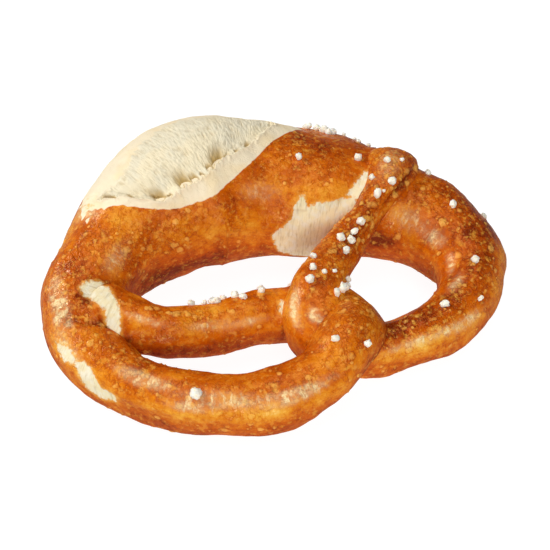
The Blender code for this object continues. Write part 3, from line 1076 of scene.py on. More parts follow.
class Graph:
    """The node tree of a material or a world, built by short calls that return sockets."""

    def __init__(self, owner: bpy.types.Material | bpy.types.World) -> None:
        """Turns the nodes on and finds the shader.

        Args:
            owner: The material or the world.
        """
        owner.use_nodes = True
        self.owner = owner
        self.tree = owner.node_tree
        self.shader = next(node for node in self.tree.nodes if node.type in ("BSDF_PRINCIPLED", "BACKGROUND"))

    def put(self, socket: Socket, value: object) -> None:
        """Links or sets one input, a colour from its three values.

        Args:
            socket: The input.
            value: A socket to link, or a value.
        """
        if isinstance(value, Socket):
            self.tree.links.new(value, socket)
        else:
            socket.default_value = (*value, 1) if socket.type == "RGBA" else value

    def node(self, kind: str, inputs: dict[str | int, object], **settings: object) -> bpy.types.Node:
        """Adds a node, sets its properties and feeds its inputs.

        Args:
            kind: The node's type.
            inputs: Values or sockets by input name or number.
            **settings: The node's own properties.

        Returns:
            The node.
        """
        node = self.tree.nodes.new(kind)
        for key, value in settings.items():
            setattr(node, key, value)
        for key, value in inputs.items():
            self.put(node.inputs[key], value)
        return node

    def field(self, name: str) -> Socket:
        """The value of one of the mesh's point attributes."""
        return self.node("ShaderNodeAttribute", {}, attribute_name=name).outputs["Fac"]

    def ray(self, kind: str) -> Socket:
        """1 for rays of a kind, and 0 for all others."""
        return self.node("ShaderNodeLightPath", {}).outputs[kind]

    def scaled(self, source: Socket, scale: tuple[float, ...]) -> Socket:
        """Coordinates times a scale."""
        return self.node("ShaderNodeMapping", {"Vector": source, "Scale": scale}).outputs["Vector"]

    def place(self, millimetres: float) -> Socket:
        """Object coordinates whose unit is the given number of millimetres."""
        source = self.node("ShaderNodeTexCoord", {}).outputs["Object"]
        return self.scaled(source, (1000 / millimetres,) * 3)

    def grain(self, long: float, wide: float) -> Socket:
        """The unrolled map whose units are the given millimetres along the rope and round it."""
        source = self.node("ShaderNodeUVMap", {}, uv_map="unrolled").outputs["UV"]
        return self.scaled(source, (100 / long, 100 / wide, 1))

    def warped(self, vector: Socket, grain: float, reach: float) -> Socket:
        """The vector shifted by noise of a grain by up to about a reach, both in its own unit.

        Args:
            vector: Coordinates.
            grain: The noise's grain.
            reach: How far it shifts them.

        Returns:
            The shifted coordinates.
        """
        inputs = {"Vector": vector, "Scale": 1 / grain, "Detail": 1.0}
        shift = self.node("ShaderNodeTexNoise", inputs).outputs["Color"]
        inputs = {0: shift, 1: (reach, reach, reach), 2: vector}
        return self.node("ShaderNodeVectorMath", inputs, operation="MULTIPLY_ADD").outputs[0]

    def noise(self, vector: Socket, detail: float, rough: float) -> Socket:
        """Noise of grain size 1 in the vector's unit, between 0 and 1."""
        inputs = {"Vector": vector, "Scale": 1.0, "Detail": detail, "Roughness": rough}
        return self.node("ShaderNodeTexNoise", inputs).outputs["Fac"]

    def cells(self, vector: Socket, **settings: object) -> bpy.types.Node:
        """A Voronoi pattern whose cells are about 1 wide in the vector's unit."""
        return self.node("ShaderNodeTexVoronoi", {"Vector": vector, "Scale": 1.0}, **settings)

    def math(self, operation: str, *values: object, clamp: bool = False) -> Socket:
        """One sum on two or three numbers."""
        inputs = dict(enumerate(values))
        return self.node("ShaderNodeMath", inputs, operation=operation, use_clamp=clamp).outputs[0]

    def less(self, a: object, b: object) -> Socket:
        """One number less another."""
        return self.math("SUBTRACT", a, b)

    def times(self, a: object, b: object) -> Socket:
        """The product of two numbers."""
        return self.math("MULTIPLY", a, b)

    def add(self, a: object, share: object, to: object, clamp: bool = False) -> Socket:
        """One number times a share, added to another."""
        return self.math("MULTIPLY_ADD", a, share, to, clamp=clamp)

    def most(self, *values: object) -> Socket:
        """The largest of some numbers."""
        return reduce(lambda a, b: self.math("MAXIMUM", a, b), values)

    def span(self, value: object, low: float, high: float, to_low: float = 0, to_high: float = 1) -> Socket:
        """A smooth step that carries low to to_low and high to to_high."""
        inputs = {"Value": value, "From Min": low, "From Max": high, "To Min": to_low, "To Max": to_high}
        return self.node("ShaderNodeMapRange", inputs, interpolation_type="SMOOTHSTEP").outputs["Result"]

    def mix(self, share: object, a: object, b: object) -> Socket:
        """A blend of two colours."""
        return self.node("ShaderNodeMix", {0: share, 6: a, 7: b}, data_type="RGBA").outputs[2]

    def ramp(self, value: object, stops: tuple[tuple[float, Colour], ...]) -> Socket:
        """A colour read from stops of position and colour.

        Args:
            value: Where to read, 0 to 1.
            stops: Positions with their colours, rising.

        Returns:
            The colour's socket.
        """
        node = self.node("ShaderNodeValToRGB", {"Fac": value})
        elements = node.color_ramp.elements
        while len(elements) < len(stops):
            elements.new(0.5)
        for element, (position, colour) in zip(elements, stops):
            element.position = position
            element.color = (*colour, 1)
        return node.outputs["Color"]

    def bump(self, height: object, millimetres: float, **normal: Socket) -> Socket:
        """A normal bent by a height of 0 to 1 that stands for so many millimetres."""
        inputs = {"Height": height, "Distance": millimetres * MM, "Strength": 1.0, **normal}
        return self.node("ShaderNodeBump", inputs).outputs["Normal"]

    def finish(self, **inputs: object) -> bpy.types.Material | bpy.types.World:
        """Feeds the shader's inputs, named with underscores for spaces, and hands over the graph's owner.

        Args:
            **inputs: Values or sockets by input name.

        Returns:
            The material or the world.
        """
        for key, value in inputs.items():
            self.put(self.shader.inputs[key.replace("_", " ")], value)
        return self.owner


@dataclass(frozen=True)
class Beads:
    """One size of small blisters: the cells' size in millimetres, the share that holds one and its strength."""

    size: float
    share: float
    strength: float


class DoughGraph(Graph):
    """The dough's node tree, with the patterns that several of its layers read."""

    def __init__(self, beads: tuple[Beads, ...]) -> None:
        """Makes the dough's material and its shared patterns.

        Args:
            beads: The sizes of the small blisters.
        """
        super().__init__(bpy.data.materials.new("dough"))
        self.fine = self.noise(self.place(0.6), 3.0, 0.65)
        self.medium = self.noise(self.place(2.6), 3.0, 0.6)
        self.broad = self.noise(self.place(11.0), 2.0, 0.5)
        self.drawn = self.noise(self.grain(9.0, 2.2), 3.0, 0.6)
        self.fibre = self.noise(self.grain(0.55, 3.4), 3.0, 0.6)
        self.flecks = self.noise(self.warped(self.grain(1.7, 3.6), 0.9, 0.8), 2.0, 0.55)
        self.ragged = self.noise(self.place(1.7), 3.0, 0.6)
        self.streak_and_sheen = self.field("streak_and_sheen")
        uneven = self.span(self.medium, 0.38, 0.62, -0.25, 0.25)
        self.crowd = self.math("ADD", uneven, self.field("crowd"), clamp=True)
        self.disc = self.most(*(self.layer(size) for size in beads))
        pebbles = self.cells(self.warped(self.place(1.5), 0.5, 0.5), feature="DISTANCE_TO_EDGE")
        between = self.span(pebbles.outputs["Distance"], 0.16, 0.01)
        self.gaps = self.times(between, self.span(self.crowd, 0.1, 0.7, 0.25, 1.0))

    def layer(self, beads: Beads) -> Socket:
        """One size of blisters as soft discs, 0 to 1, in some of the cells of a warped Voronoi pattern.

        Args:
            beads: The blisters' size, share and strength.

        Returns:
            The discs.
        """
        cells = self.cells(self.warped(self.place(beads.size), 0.55, 0.45))
        chance, width, bright = self.node("ShaderNodeSeparateColor", {0: cells.outputs["Color"]}).outputs[:3]
        share = self.math("DIVIDE", cells.outputs["Distance"], self.add(width, 0.22, 0.20))
        chosen = self.math("LESS_THAN", chance, self.times(self.crowd, beads.share))
        strength = self.add(bright, 0.6 * beads.strength, 0.4 * beads.strength)
        return self.times(self.times(self.span(share, 1.25, 0.0), chosen), strength)

    def torn(self, field: str, reach: float, soft: float) -> Socket:
        """A step from 0 to 1, twice soft wide, where a depth field passes 0, its edge shifted by up to reach."""
        shift = self.add(self.ragged, 2 * reach, self.less(self.field(field), reach))
        return self.span(shift, -soft, soft)


@dataclass(frozen=True)
class DoughFinish:
    """The dough's finish: glossy lye-baked crust, smooth cream skin, torn crumb and pale torn patches."""

    crust: tuple[tuple[float, Colour], ...] = (
        (0.00, (0.950, 0.600, 0.160)),
        (0.16, (0.880, 0.400, 0.040)),
        (0.36, (0.740, 0.215, 0.007)),
        (0.56, (0.590, 0.110, 0.001)),
        (0.78, (0.420, 0.058, 0.001)),
        (1.00, (0.200, 0.020, 0.001)),
    )
    beads: tuple[Beads, ...] = (Beads(2.9, 0.50, 0.55), Beads(1.6, 0.60, 0.55), Beads(0.9, 0.60, 0.45))
    amber: Colour = (0.920, 0.430, 0.050)
    blister: Colour = (0.960, 0.500, 0.095)
    # Colour of the pale streaks and of the painted sheen and highlights.
    streak_and_sheen: Colour = (0.940, 0.720, 0.370)
    fringe: Colour = (0.860, 0.440, 0.070)
    skin: Colour = (0.930, 0.800, 0.570)
    skin_amber: Colour = (0.890, 0.680, 0.360)
    crumb: Colour = (0.880, 0.770, 0.540)
    crumb_grey: Colour = (0.830, 0.750, 0.560)
    crumb_streak: Colour = (0.600, 0.500, 0.270)
    # Painted shade in the crumb's pits, under the lip.
    crumb_pit_shade: Colour = (0.420, 0.250, 0.040)
    pale: Colour = (0.860, 0.735, 0.460)
    pale_light: Colour = (0.870, 0.790, 0.600)
    pale_dark: Colour = (0.600, 0.460, 0.240)
    gloss_tint: Colour = (1.0, 0.78, 0.46)

    def crust_colour(self, g: DoughGraph) -> Socket:
        """The crust: its bake and painted shade with noise in it as a colour, then mottles, blisters, pale
        streaks with painted sheen and highlights, and patch rims.

        Args:
            g: The dough's graph.

        Returns:
            The colour.
        """
        tone = g.field("bake_and_shade")
        for pattern, weight in ((g.broad, 0.80), (g.drawn, 0.35), (g.medium, 0.48), (g.fine, 0.30)):
            tone = g.add(g.less(pattern, 0.5), weight, tone)
        dome = g.field("blister")
        rim = g.times(g.span(dome, 0.002, 0.03), g.span(dome, 0.14, 0.05))
        tone = g.add(rim, 0.18, g.add(g.gaps, 0.12, tone))
        mottles = g.noise(g.warped(g.place(2.2), 0.8, 0.6), 3.0, 0.6)
        light = g.times(g.span(mottles, 0.50, 0.70), g.span(g.crowd, 0.0, 0.7, 0.30, 0.60))
        large = g.times(g.span(dome, 0.0, 0.55, 0.0, 0.66), g.span(g.fine, 0.30, 0.60, 0.55, 1.0))
        # Pale streaks and painted highlights: flecks where the streaks' spots are strong, then a soft painted
        # sheen from the medium noise.
        streak_and_sheen_fleck = g.span(g.add(g.streak_and_sheen, 0.20, g.flecks), 0.50, 0.80)
        streak_and_sheen_fleck = g.times(streak_and_sheen_fleck, g.span(g.fine, 0.30, 0.55, 0.35, 1.0))
        streak_and_sheen_fleck = g.most(streak_and_sheen_fleck, g.span(g.medium, 0.40, 0.62, 0.14, 0.42))
        near_patch = g.span(g.field("pale"), -1.6, -0.1)
        colour = g.ramp(tone, self.crust)
        for share, tint in (
            (light, self.amber),
            (g.most(g.disc, large), self.blister),
            (g.times(streak_and_sheen_fleck, g.span(g.streak_and_sheen, 0.02, 0.6)), self.streak_and_sheen),
            (g.times(near_patch, 0.5), self.fringe),
        ):
            colour = g.mix(share, colour, tint)
        return colour

    def pale_colour(self, g: DoughGraph) -> Socket:
        """The torn patches: two creams in clouds, with darker fibres drawn out round the rope.

        Args:
            g: The dough's graph.

        Returns:
            The colour.
        """
        fibres = g.noise(g.warped(g.grain(0.9, 6.0), 0.5, 0.35), 4.0, 0.6)
        cream = g.mix(g.span(g.medium, 0.42, 0.62), self.pale, self.pale_light)
        return g.mix(g.span(fibres, 0.46, 0.72, 0.0, 0.75), cream, self.pale_dark)

    def skin_colour(self, g: DoughGraph) -> Socket:
        """The burst's smooth skin: two creams in clouds, with amber flecks where the crust runs into it."""
        cream = g.mix(g.span(g.broad, 0.46, 0.68, 0.0, 0.5), self.skin, self.skin_amber)
        return g.mix(g.times(g.span(g.flecks, 0.46, 0.60), g.streak_and_sheen), cream, self.fringe)

    def crumb_colour(self, g: DoughGraph) -> Socket:
        """The torn crumb: two creams in clouds, darker between its fibres, and brown painted shade in its pits
        and in the low places between its fibres.

        Args:
            g: The dough's graph.

        Returns:
            The colour.
        """
        cream = g.mix(g.span(g.broad, 0.40, 0.60), self.crumb, self.crumb_grey)
        cream = g.mix(g.span(g.fibre, 0.52, 0.74, 0.0, 0.55), cream, self.crumb_streak)
        # Painted shade: the pit field darkens the pits under the lip and the low places between fibres.
        return g.mix(g.math("POWER", g.field("pit"), 0.6), cream, self.crumb_pit_shade)

    def build(self) -> bpy.types.Material:
        """The material: crust, then patches, smooth skin and crumb where their depth fields say, and the gloss.

        Returns:
            The material.
        """
        g = DoughGraph(self.beads)
        skin, crumb, pale = g.torn("skin", 0.5, 0.25), g.torn("crumb", 0.8, 1.1), g.torn("pale", 1.8, 0.45)
        colour = g.mix(pale, self.crust_colour(g), self.pale_colour(g))
        colour = g.mix(skin, colour, self.skin_colour(g))
        colour = g.mix(crumb, colour, self.crumb_colour(g))
        matt = g.most(g.times(skin, 0.6), pale, crumb)
        rough = g.add(g.most(matt, g.field("low")), 0.55, g.add(g.medium, 0.26, 0.08), clamp=True)
        relief = g.add(g.fine, 0.35, g.times(g.less(g.disc, g.gaps), 0.8))
        normal = g.bump(g.times(relief, g.less(1.0, g.times(matt, 0.7))), 0.20)
        normal = g.bump(g.times(g.fibre, g.most(pale, crumb)), 0.22, Normal=normal)
        return g.finish(
            Base_Color=colour, Roughness=rough, Normal=normal, Metallic=0.0, Specular_IOR_Level=0.24,
            Specular_Tint=self.gloss_tint,
        )


@dataclass(frozen=True)
class SaltFinish:
    """Coarse salt: opaque white with a cream tinge, a little light passing through it."""

    white: Colour = (0.95, 0.90, 0.78)
    cream: Colour = (0.88, 0.76, 0.55)

    def build(self) -> bpy.types.Material:
        """The material: cream clouds in white, and fine pits.

        Returns:
            The material.
        """
        g = Graph(bpy.data.materials.new("salt"))
        clouds = g.noise(g.place(1.4), 2.0, 0.5)
        return g.finish(
            Base_Color=g.mix(g.span(clouds, 0.45, 0.75), self.white, self.cream), Roughness=0.42,
            Normal=g.bump(g.noise(g.place(0.4), 2.0, 0.6), 0.10), Subsurface_Weight=0.5,
            Subsurface_Radius=(1.0, 0.9, 0.7), Subsurface_Scale=0.8 * MM,
        )


def dress(piece: bpy.types.Object, material: bpy.types.Material, slot: Slot) -> None:
    """Gives a piece its material, hangs it on the body, hides the CAD part it replaces and logs its slot.

    Args:
        piece: The piece.
        material: Its material.
        slot: The material slot, which is only logged.
    """
    piece.data.materials.append(material)
    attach(piece, BODY)
    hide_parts(NODE)
    LOG.info("%s: %d faces, slot %s", piece.name, len(piece.data.polygons), slot.value)


@dataclass
class Crust:
    """The rope's skin, in pieces that share rings, so that each keeps within the limit on faces."""

    rope: Rope
    skin: Skin
    step: float = 0.62
    sides: int = 240
    foot_angle: float = 128.0
    foot_share: float = 0.45
    tip_rings: int = 18
    patch_depth: float = 0.25
    under_burst: float = 1.0
    no_crumb: float = -5.0
    cuts: tuple[tuple[str, float], ...] = (
        ("left_arm", 0.0), ("left_loop", 80.0), ("belly", 236.0), ("right_loop", 426.0), ("right_arm", 505.0),
    )

    def distances(self) -> Array:
        """Distances of the rings: even along the rope, and closing up towards its tips as on a half sphere.

        Returns:
            Rising distances in millimetres.
        """
        tip = float(self.rope.fine.half_width[-1])
        close = tip * (1 - np.cos(np.linspace(0, pi / 2, self.tip_rings, endpoint=False)))
        even = np.arange(tip, self.rope.length - tip, self.step)
        return np.concatenate([close, even, self.rope.length - close[::-1]])

    def angles(self) -> Array:
        """Angles of the points in a ring: even, but wider apart on the foot, which nobody sees.

        Returns:
            Rising angles in degrees.
        """
        fine = np.linspace(-180, 180, 2001)
        density = np.where(np.abs(fine) < self.foot_angle, 1.0, self.foot_share)
        share = np.concatenate([[0], np.cumsum(0.5 * (density[1:] + density[:-1]))])
        return np.interp(np.arange(self.sides) / self.sides, share / share[-1], fine)

    def sheet(self) -> Sheet:
        """The whole rope as one sheet: the swept skin, with lumps, blisters and fillets along its normals.

        It is a little lower in the pale patches, and steps down below the burst's own sheet.

        Returns:
            The sheet.
        """
        skin = self.skin
        grid = self.rope.grid(self.distances(), self.angles(), True)
        burst, pale = skin.burst(grid), skin.patches(grid)
        bare = np.clip(1 - smooth(-1.0, 0.5, burst) - smooth(-1.5, 0.5, pale), 0, 1)
        blister = skin.blisters(grid) * bare
        height = skin.relief(grid) + skin.blister_rise * blister + skin.fillet(grid)
        height -= self.patch_depth * smooth(-1.0, 1.0, pale)
        height -= self.under_burst * smooth(1.0, 3.0, burst) + self.rope.crumb_recess(grid)
        none = np.zeros(height.shape)
        fields = {"blister": blister, "skin": burst, "pale": pale, "pit": none, "crumb": none + self.no_crumb}
        return skin.sheet(grid, height, fields)

    def build(self, material: bpy.types.Material) -> list[bpy.types.Object]:
        """Cuts the sheet at shared rings, makes each piece and dresses it.

        Args:
            material: The dough material.

        Returns:
            The pieces, in order along the rope.
        """
        sheet = self.sheet()
        starts = np.searchsorted(sheet.unrolled[:, 0, 0], [start for _, start in self.cuts]).tolist()
        ends = starts[1:] + [len(sheet.points) - 1]
        pieces = []
        for (name, _), start, end in zip(self.cuts, starts, ends):
            piece = MeshMaker.make(name, sheet.part(slice(start, end + 1)))
            dress(piece, material, Slot.CRUST)
            pieces.append(piece)
        return pieces


@dataclass
class Burst:
    """The burst's skin and torn crumb, a finer sheet over the belly that tucks under the crust at its border.

    Each grain is a noise's size along the rope and round it, and each shift makes a noise unlike the others.
    """

    rope: Rope
    skin: Skin
    start: float = 258.0
    end: float = 359.0
    back: float = -84.0
    front: float = 62.0
    step: float = 0.32
    tuck: float = 0.5
    border: float = 2.0
    lift: float = 0.03
    tooth: float = 1.3
    tooth_grain: Pair = (1.4, 4.0)
    wave: float = 0.6
    wave_grain: Pair = (4.0, 6.0)
    wave_shift: float = 9.0
    fibre_height: float = 0.42
    fibre_share: float = 0.6
    fibre_grain: Pair = (0.8, 3.2)
    fibre_shift: float = 3.0
    clump_share: float = 0.5
    clump_grain: Pair = (3.0, 7.0)
    clump_shift: float = 5.0
    pit_depth: float = 2.0
    pit_reach: float = 3.4
    pit_grain: Pair = (1.0, 2.6)
    pit_shifts: Pair = (21.0, 31.0)
    pit_noise: Pair = (0.5, 0.9)
    fibre_shade: float = 0.25
    lip: float = 0.5
    lip_width: float = 1.1
    lip_recess: float = 0.5
    recess_share: float = 0.6

    def pits(self, grid: Grid, behind: Array) -> Array:
        """Depths of the crumb's pits, 0 to 1, deepest right under the front lip and running out behind it.

        Along the rope each pit falls off as exp(-x^4), and behind the lip as a smooth step whose length is in
        proportion to the pit's half width. Noise shifts both, so that the pits' rims are ragged.

        Args:
            grid: The grid.
            behind: How far each point lies behind the crumb's front edge, in millimetres.

        Returns:
            One depth for each point.
        """
        along, back = (
            noise * self.skin.torn(grid, self.pit_grain, shift)
            for noise, shift in zip(self.pit_noise, self.pit_shifts)
        )
        total = np.zeros(behind.shape)
        for s, radius in PITS:
            across = np.exp(-(((grid.along[:, None] - s + along) / radius) ** 4))
            total = np.maximum(total, across * smooth(self.pit_reach * radius, 0, behind + back))
        return total

    def inset(self, grid: Grid) -> Array:
        """How far each point lies inside the sheet's own border, in millimetres.

        Args:
            grid: The grid.

        Returns:
            Distances, rings by angles.
        """
        along = np.minimum(grid.along - grid.along[0], grid.along[-1] - grid.along)[:, None]
        around = np.minimum(grid.around - grid.around[0], grid.around[-1] - grid.around)[None]
        return np.minimum(along, around * grid.degree)

    def sheet(self) -> Sheet:
        """The rope's skin over the burst, with its lip, its torn crumb and its pits.

        Inside the crumb's torn edge the skin steps down, and fibres drawn out round the rope roughen it: ridges
        1 - 2|n| of noise on broader clumps. The pits lie just behind the front edge.

        Returns:
            The sheet.
        """
        skin = self.skin
        mean = float(self.rope.radius(np.array([0.5 * (self.start + self.end)]))[0, 0])
        around = np.arange(self.back, self.front, np.degrees(self.step / mean))
        grid = self.rope.grid(np.arange(self.start, self.end, self.step), around, False)
        burst = skin.burst(grid)
        teeth = self.tooth * skin.torn(grid, self.tooth_grain)
        crumb = CRUMB.depth(grid) + teeth + self.wave * skin.torn(grid, self.wave_grain, self.wave_shift)
        inside = smooth(-0.2, 0.7, crumb)
        fibres = self.fibre_share * (1 - 2 * np.abs(skin.torn(grid, self.fibre_grain, self.fibre_shift)))
        clumps = self.clump_share * skin.torn(grid, self.clump_grain, self.clump_shift)
        torn = self.fibre_height * (fibres + clumps)
        behind = (CRUMB.front.at(grid.along) - grid.around) * grid.degree
        pit = self.pits(grid, behind) * inside
        blister = skin.blisters(grid) * smooth(0.5, -1.0, burst)
        height = skin.relief(grid) + skin.blister_rise * blister + self.lift
        lip = self.lip * np.exp(-((crumb / self.lip_width) ** 2)) * (1 - inside)
        height += lip * smooth(8.0, 2.0, np.abs(behind))
        recess = self.lip_recess * smooth(12.0, 4.0, behind) + self.recess_share * self.rope.crumb_recess(grid)
        height -= inside * (recess - torn + self.pit_depth * pit)
        height -= self.tuck * smooth(self.border, 0, self.inset(grid))
        # Painted shade for the material: in the pits under the lip, and in the low places between fibres.
        shade = np.clip(pit + self.fibre_shade * smooth(0.1, -0.4, torn) * inside, 0, 1)
        fields = {"blister": blister, "skin": burst, "pale": skin.patches(grid), "pit": shade, "crumb": crumb}
        return skin.sheet(grid, height, fields)

    def build(self, material: bpy.types.Material) -> bpy.types.Object:
        """Makes the sheet's piece from the dough material, and dresses it.

        Args:
            material: The dough material.

        Returns:
            The piece.
        """
        piece = MeshMaker.make("burst", self.sheet())
        dress(piece, material, Slot.CRUMB)
        return piece


@dataclass(frozen=True)
class SaltZone:
    """Grains spaced evenly from start to end, each (millimetres along, degrees round), then scattered.

    Size is a grain's mean radius in millimetres.
    """

    name: str
    start: Pair
    end: Pair
    count: int
    scatter: float
    size: float


SALT = (
    SaltZone("belly crest", (356, -46), (363, -38), 5, 1.8, 1.7),
    SaltZone("belly crest small", (367, -42), (378, -36), 4, 1.5, 1.0),
    SaltZone("belly top", (352, 12), (375, -3), 2, 0.3, 1.4),
    SaltZone("belly back", (360, -72), (395, -64), 4, 4.0, 1.1),
    SaltZone("right shoulder", (400, -26), (415, -2), 2, 0.4, 1.3),
    SaltZone("right loop", (440, -2), (465, -3), 2, 0.4, 1.4),
    SaltZone("right loop back", (423, -60), (454, -50), 2, 3.0, 1.1),
    SaltZone("left arm ridge", (66, -18), (39, -44), 7, 2.6, 1.5),
    SaltZone("left arm back", (76, -50), (46, -58), 4, 2.5, 1.2),
    SaltZone("left loop", (177, -27), (177, -27), 1, 0.2, 1.6),
    SaltZone("twist front", (122, 4), (119, -50), 2, 0.3, 1.4),
    SaltZone("twist notch", (541, 88), (530, 53), 5, 1.0, 1.4),
    SaltZone("arm foot", (540, -22), (533, -5), 3, 0.8, 1.4),
    SaltZone("arm foot small", (538, 36), (536, 22), 2, 0.8, 0.8),
    SaltZone("right arm", (565, 21), (550, 34), 4, 0.6, 1.4),
    SaltZone("right arm side", (554, 3), (554, 3), 1, 0.3, 1.3),
    SaltZone("arm tip", (592, -10), (579, 12), 2, 0.4, 1.5),
    SaltZone("arm tip sides", (586, 36), (585, -36), 2, 0.4, 1.4),
    SaltZone("arm tip small", (581, 34), (594, 30), 2, 0.6, 0.8),
)


@dataclass(frozen=True)
class Grain:
    """One grain's place on the rope, its mean radius, its stretch and its turn."""

    along: float
    around: float
    size: float
    stretch: Array
    turn: Euler


@dataclass
class Salt:
    """The coarse salt, placed by the same seeded rule as the CAD model's grains and joined in one mesh.

    The grains of the belly's crest and the left arm's ridge are a little larger than the model's.
    """

    rope: Rope
    zones: tuple[SaltZone, ...] = SALT
    seed: int = 11
    spread: float = 0.15
    stretch: Pair = (0.78, 1.3)
    sink: float = 0.40
    ray: float = 1.5
    fullness: float = 0.86
    boxiness: float = 0.72
    roughness: float = 0.34

    def __post_init__(self) -> None:
        """Draws the noise of the grains' faces."""
        self.noise = Noise(40)

    def grains(self) -> Iterator[Grain]:
        """Each grain in turn, with its random draws in the CAD model's order.

        Returns:
            The grains.
        """
        rng = np.random.default_rng(self.seed)
        for zone in self.zones:
            for k in range(zone.count):
                share = k / max(zone.count - 1, 1)
                along = zone.start[0] + share * (zone.end[0] - zone.start[0])
                along += rng.uniform(-1, 1) * zone.scatter
                around = zone.start[1] + share * (zone.end[1] - zone.start[1])
                radius = float(self.rope.rings(np.array([along])).half_width[0, 0])
                around += np.degrees(rng.uniform(-1, 1) * zone.scatter / radius)
                size = zone.size * rng.uniform(1 - self.spread, 1 + self.spread)
                stretch = np.array([rng.uniform(*self.stretch) for _ in range(3)])
                yield Grain(along, around, size, stretch, Euler([rng.uniform(0, 2 * pi) for _ in range(3)]))

    @staticmethod
    def ball() -> tuple[Array, Array]:
        """Points and triangles of a ball with a few hundred faces.

        Returns:
            The points and the triangles' point numbers.
        """
        bm = bmesh.new()
        bmesh.ops.create_icosphere(bm, subdivisions=3, radius=1.0)
        points = np.array([v.co for v in bm.verts])
        faces = np.array([[v.index for v in f.verts] for f in bm.faces])
        bm.free()
        return points, faces

    def shape(self, ball: Array, grain: Grain, number: int) -> Array:
        """A ball made into a worn crystal: its coordinates are raised to a power below one and roughened.

        Args:
            ball: Points of the unit ball.
            grain: The grain.
            number: The grain's number, which moves the noise.

        Returns:
            Points in millimetres about the grain's middle.
        """
        boxed = np.sign(ball) * np.abs(ball) ** self.boxiness
        noise = self.noise.at(ball * 1.6 + number * 7.3) + 0.5 * self.noise.at(ball * 4 + number)
        swell = 1 + self.roughness * noise[:, None]
        turn = np.array(grain.turn.to_matrix())
        return (boxed * swell * self.fullness * grain.stretch * grain.size) @ turn.T

    def build(self, crust: list[bpy.types.Object], material: bpy.types.Material) -> bpy.types.Object:
        """Drops each grain onto the crust and joins them all.

        Args:
            crust: The pieces that the grains lie on.
            material: The salt material.

        Returns:
            The piece.
        """
        graph = bpy.context.evaluated_depsgraph_get()
        trees = [BVHTree.FromObject(piece, graph) for piece in crust]
        ball, faces = self.ball()
        points, triangles = [], []
        for number, grain in enumerate(self.grains()):
            rings = self.rope.rings(np.array([grain.along]))
            sideways = rings.half_width[0] * sin(radians(grain.around)) * rings.side[0]
            outward = Vector(sideways + rings.half_height[0] * cos(radians(grain.around)) * rings.up[0])
            start = (Vector(rings.centre[0]) + outward * self.ray) * MM
            hits = [tree.ray_cast(start, -outward.normalized()) for tree in trees]
            hits = [hit for hit in hits if hit[0] is not None]
            if not hits:
                continue
            hit, normal, _, _ = min(hits, key=lambda found: found[3])
            middle = np.array(hit) / MM + np.array(normal) * grain.size * self.sink
            triangles.append(faces + len(points) * len(ball))
            points.append(self.shape(ball, grain, number) + middle)
        mesh = bpy.data.meshes.new("salt")
        mesh.from_pydata(np.concatenate(points) * MM, [], np.concatenate(triangles))
        mesh.shade_smooth()
        piece = add_object("salt", mesh)
        dress(piece, material, Slot.SALT)
        return piece


@dataclass(frozen=True)
class Lamp:
    """A square softbox: its place from the pretzel's middle and its side in metres, its power in watts."""

    name: str
    place: tuple[float, float, float]
    side: float
    power: float


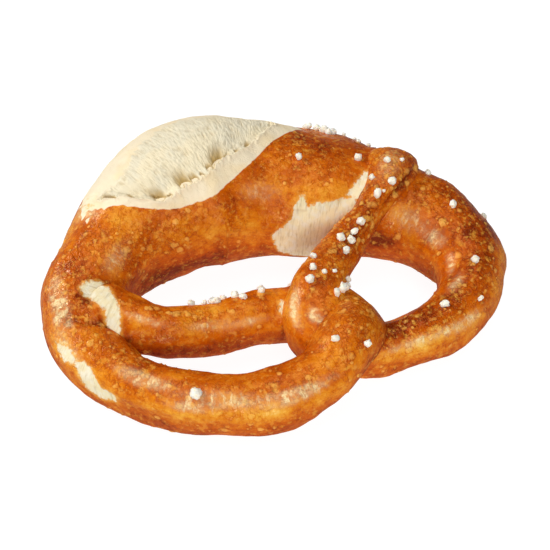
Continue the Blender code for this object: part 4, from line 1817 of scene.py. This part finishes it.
@dataclass(frozen=True)
class Studio:
    """The pale floor, the soft lights and the camera at the photograph's viewing angle."""

    azimuth: float = -32.0
    elevation: float = 44.0
    distance: float = 0.4
    target: tuple[float, float, float] = (0.0011, -0.0101, 0.015)
    lens: float = 70.0
    sensor: float = 36.0
    floor_side: float = 8.0
    floor: Colour = (0.15, 0.15, 0.15)
    floor_glow: float = 0.94
    glossy_glow: float = 0.12
    sky: float = 0.05
    backdrop: float = 0.94
    lamps: tuple[Lamp, ...] = (
        Lamp("key", (-0.58, 0.64, 0.66), 0.22, 6.8),
        Lamp("front", (-0.56, -0.90, 0.30), 0.22, 4.0),
        Lamp("fill", (-0.15, -0.85, 0.85), 0.4, 3.4),
        Lamp("top", (0.0, 0.1, 1.3), 0.9, 6.8),
    )

    def stand(self, name: str, data: bpy.types.ID, offset: Vector) -> bpy.types.Object:
        """Stands a lamp or a camera at an offset from the pretzel's middle and turns it that way.

        Args:
            name: The object's name.
            data: The lamp's or the camera's own data.
            offset: The offset in metres.

        Returns:
            The object.
        """
        thing = add_object(name, data)
        thing.location = Vector(self.target) + offset
        away = thing.location - Vector(self.target)
        thing.rotation_euler = away.to_track_quat("Z", "Y").to_euler()
        return thing

    def lay_floor(self) -> None:
        """Lays the floor, which glows less where the crust mirrors it."""
        bpy.ops.mesh.primitive_plane_add(size=self.floor_side, location=(0, 0, 0))
        floor = bpy.context.object
        floor.name = "floor"
        g = Graph(bpy.data.materials.new("floor"))
        floor.data.materials.append(g.finish(
            Base_Color=self.floor, Roughness=0.9, Specular_IOR_Level=0.1, Emission_Color=(1, 1, 1),
            Emission_Strength=g.span(g.ray("Is Glossy Ray"), 0.0, 1.0, self.floor_glow, self.glossy_glow),
        ))

    def hang_sky(self) -> None:
        """Makes the sky, dim as a light and pale as the camera sees it."""
        g = Graph(bpy.data.worlds.new("studio"))
        glow = g.span(g.ray("Is Camera Ray"), 0.0, 1.0, self.sky, self.backdrop)
        bpy.context.scene.world = g.finish(Color=(1, 1, 1), Strength=glow)

    def build(self) -> None:
        """Makes the floor, the sky, the lamps and the camera."""
        scene = bpy.context.scene
        scene.view_settings.view_transform = "Standard"
        self.lay_floor()
        self.hang_sky()
        for lamp in self.lamps:
            data = bpy.data.lights.new(lamp.name, "AREA")
            data.size = lamp.side
            data.energy = lamp.power
            self.stand(lamp.name, data, Vector(lamp.place))
        data = bpy.data.cameras.new("camera")
        data.lens = self.lens
        data.sensor_width = self.sensor
        data.clip_start = 0.01
        a, e = radians(self.azimuth), radians(self.elevation)
        back = Vector((sin(a) * cos(e), -cos(a) * cos(e), sin(e)))
        scene.camera = self.stand("camera", data, back * self.distance)


def main() -> None:
    """Builds the studio, the crust, the burst and the salt."""
    logging.basicConfig(level=logging.INFO, format="%(name)s: %(message)s")
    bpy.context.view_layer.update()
    Studio().build()
    rope = Rope()
    skin = Skin(rope)
    dough = DoughFinish().build()
    crust = Crust(rope, skin).build(dough)
    burst = Burst(rope, skin).build(dough)
    Salt(rope).build([*crust, burst], SaltFinish().build())


if __name__ == "__main__":
    main()
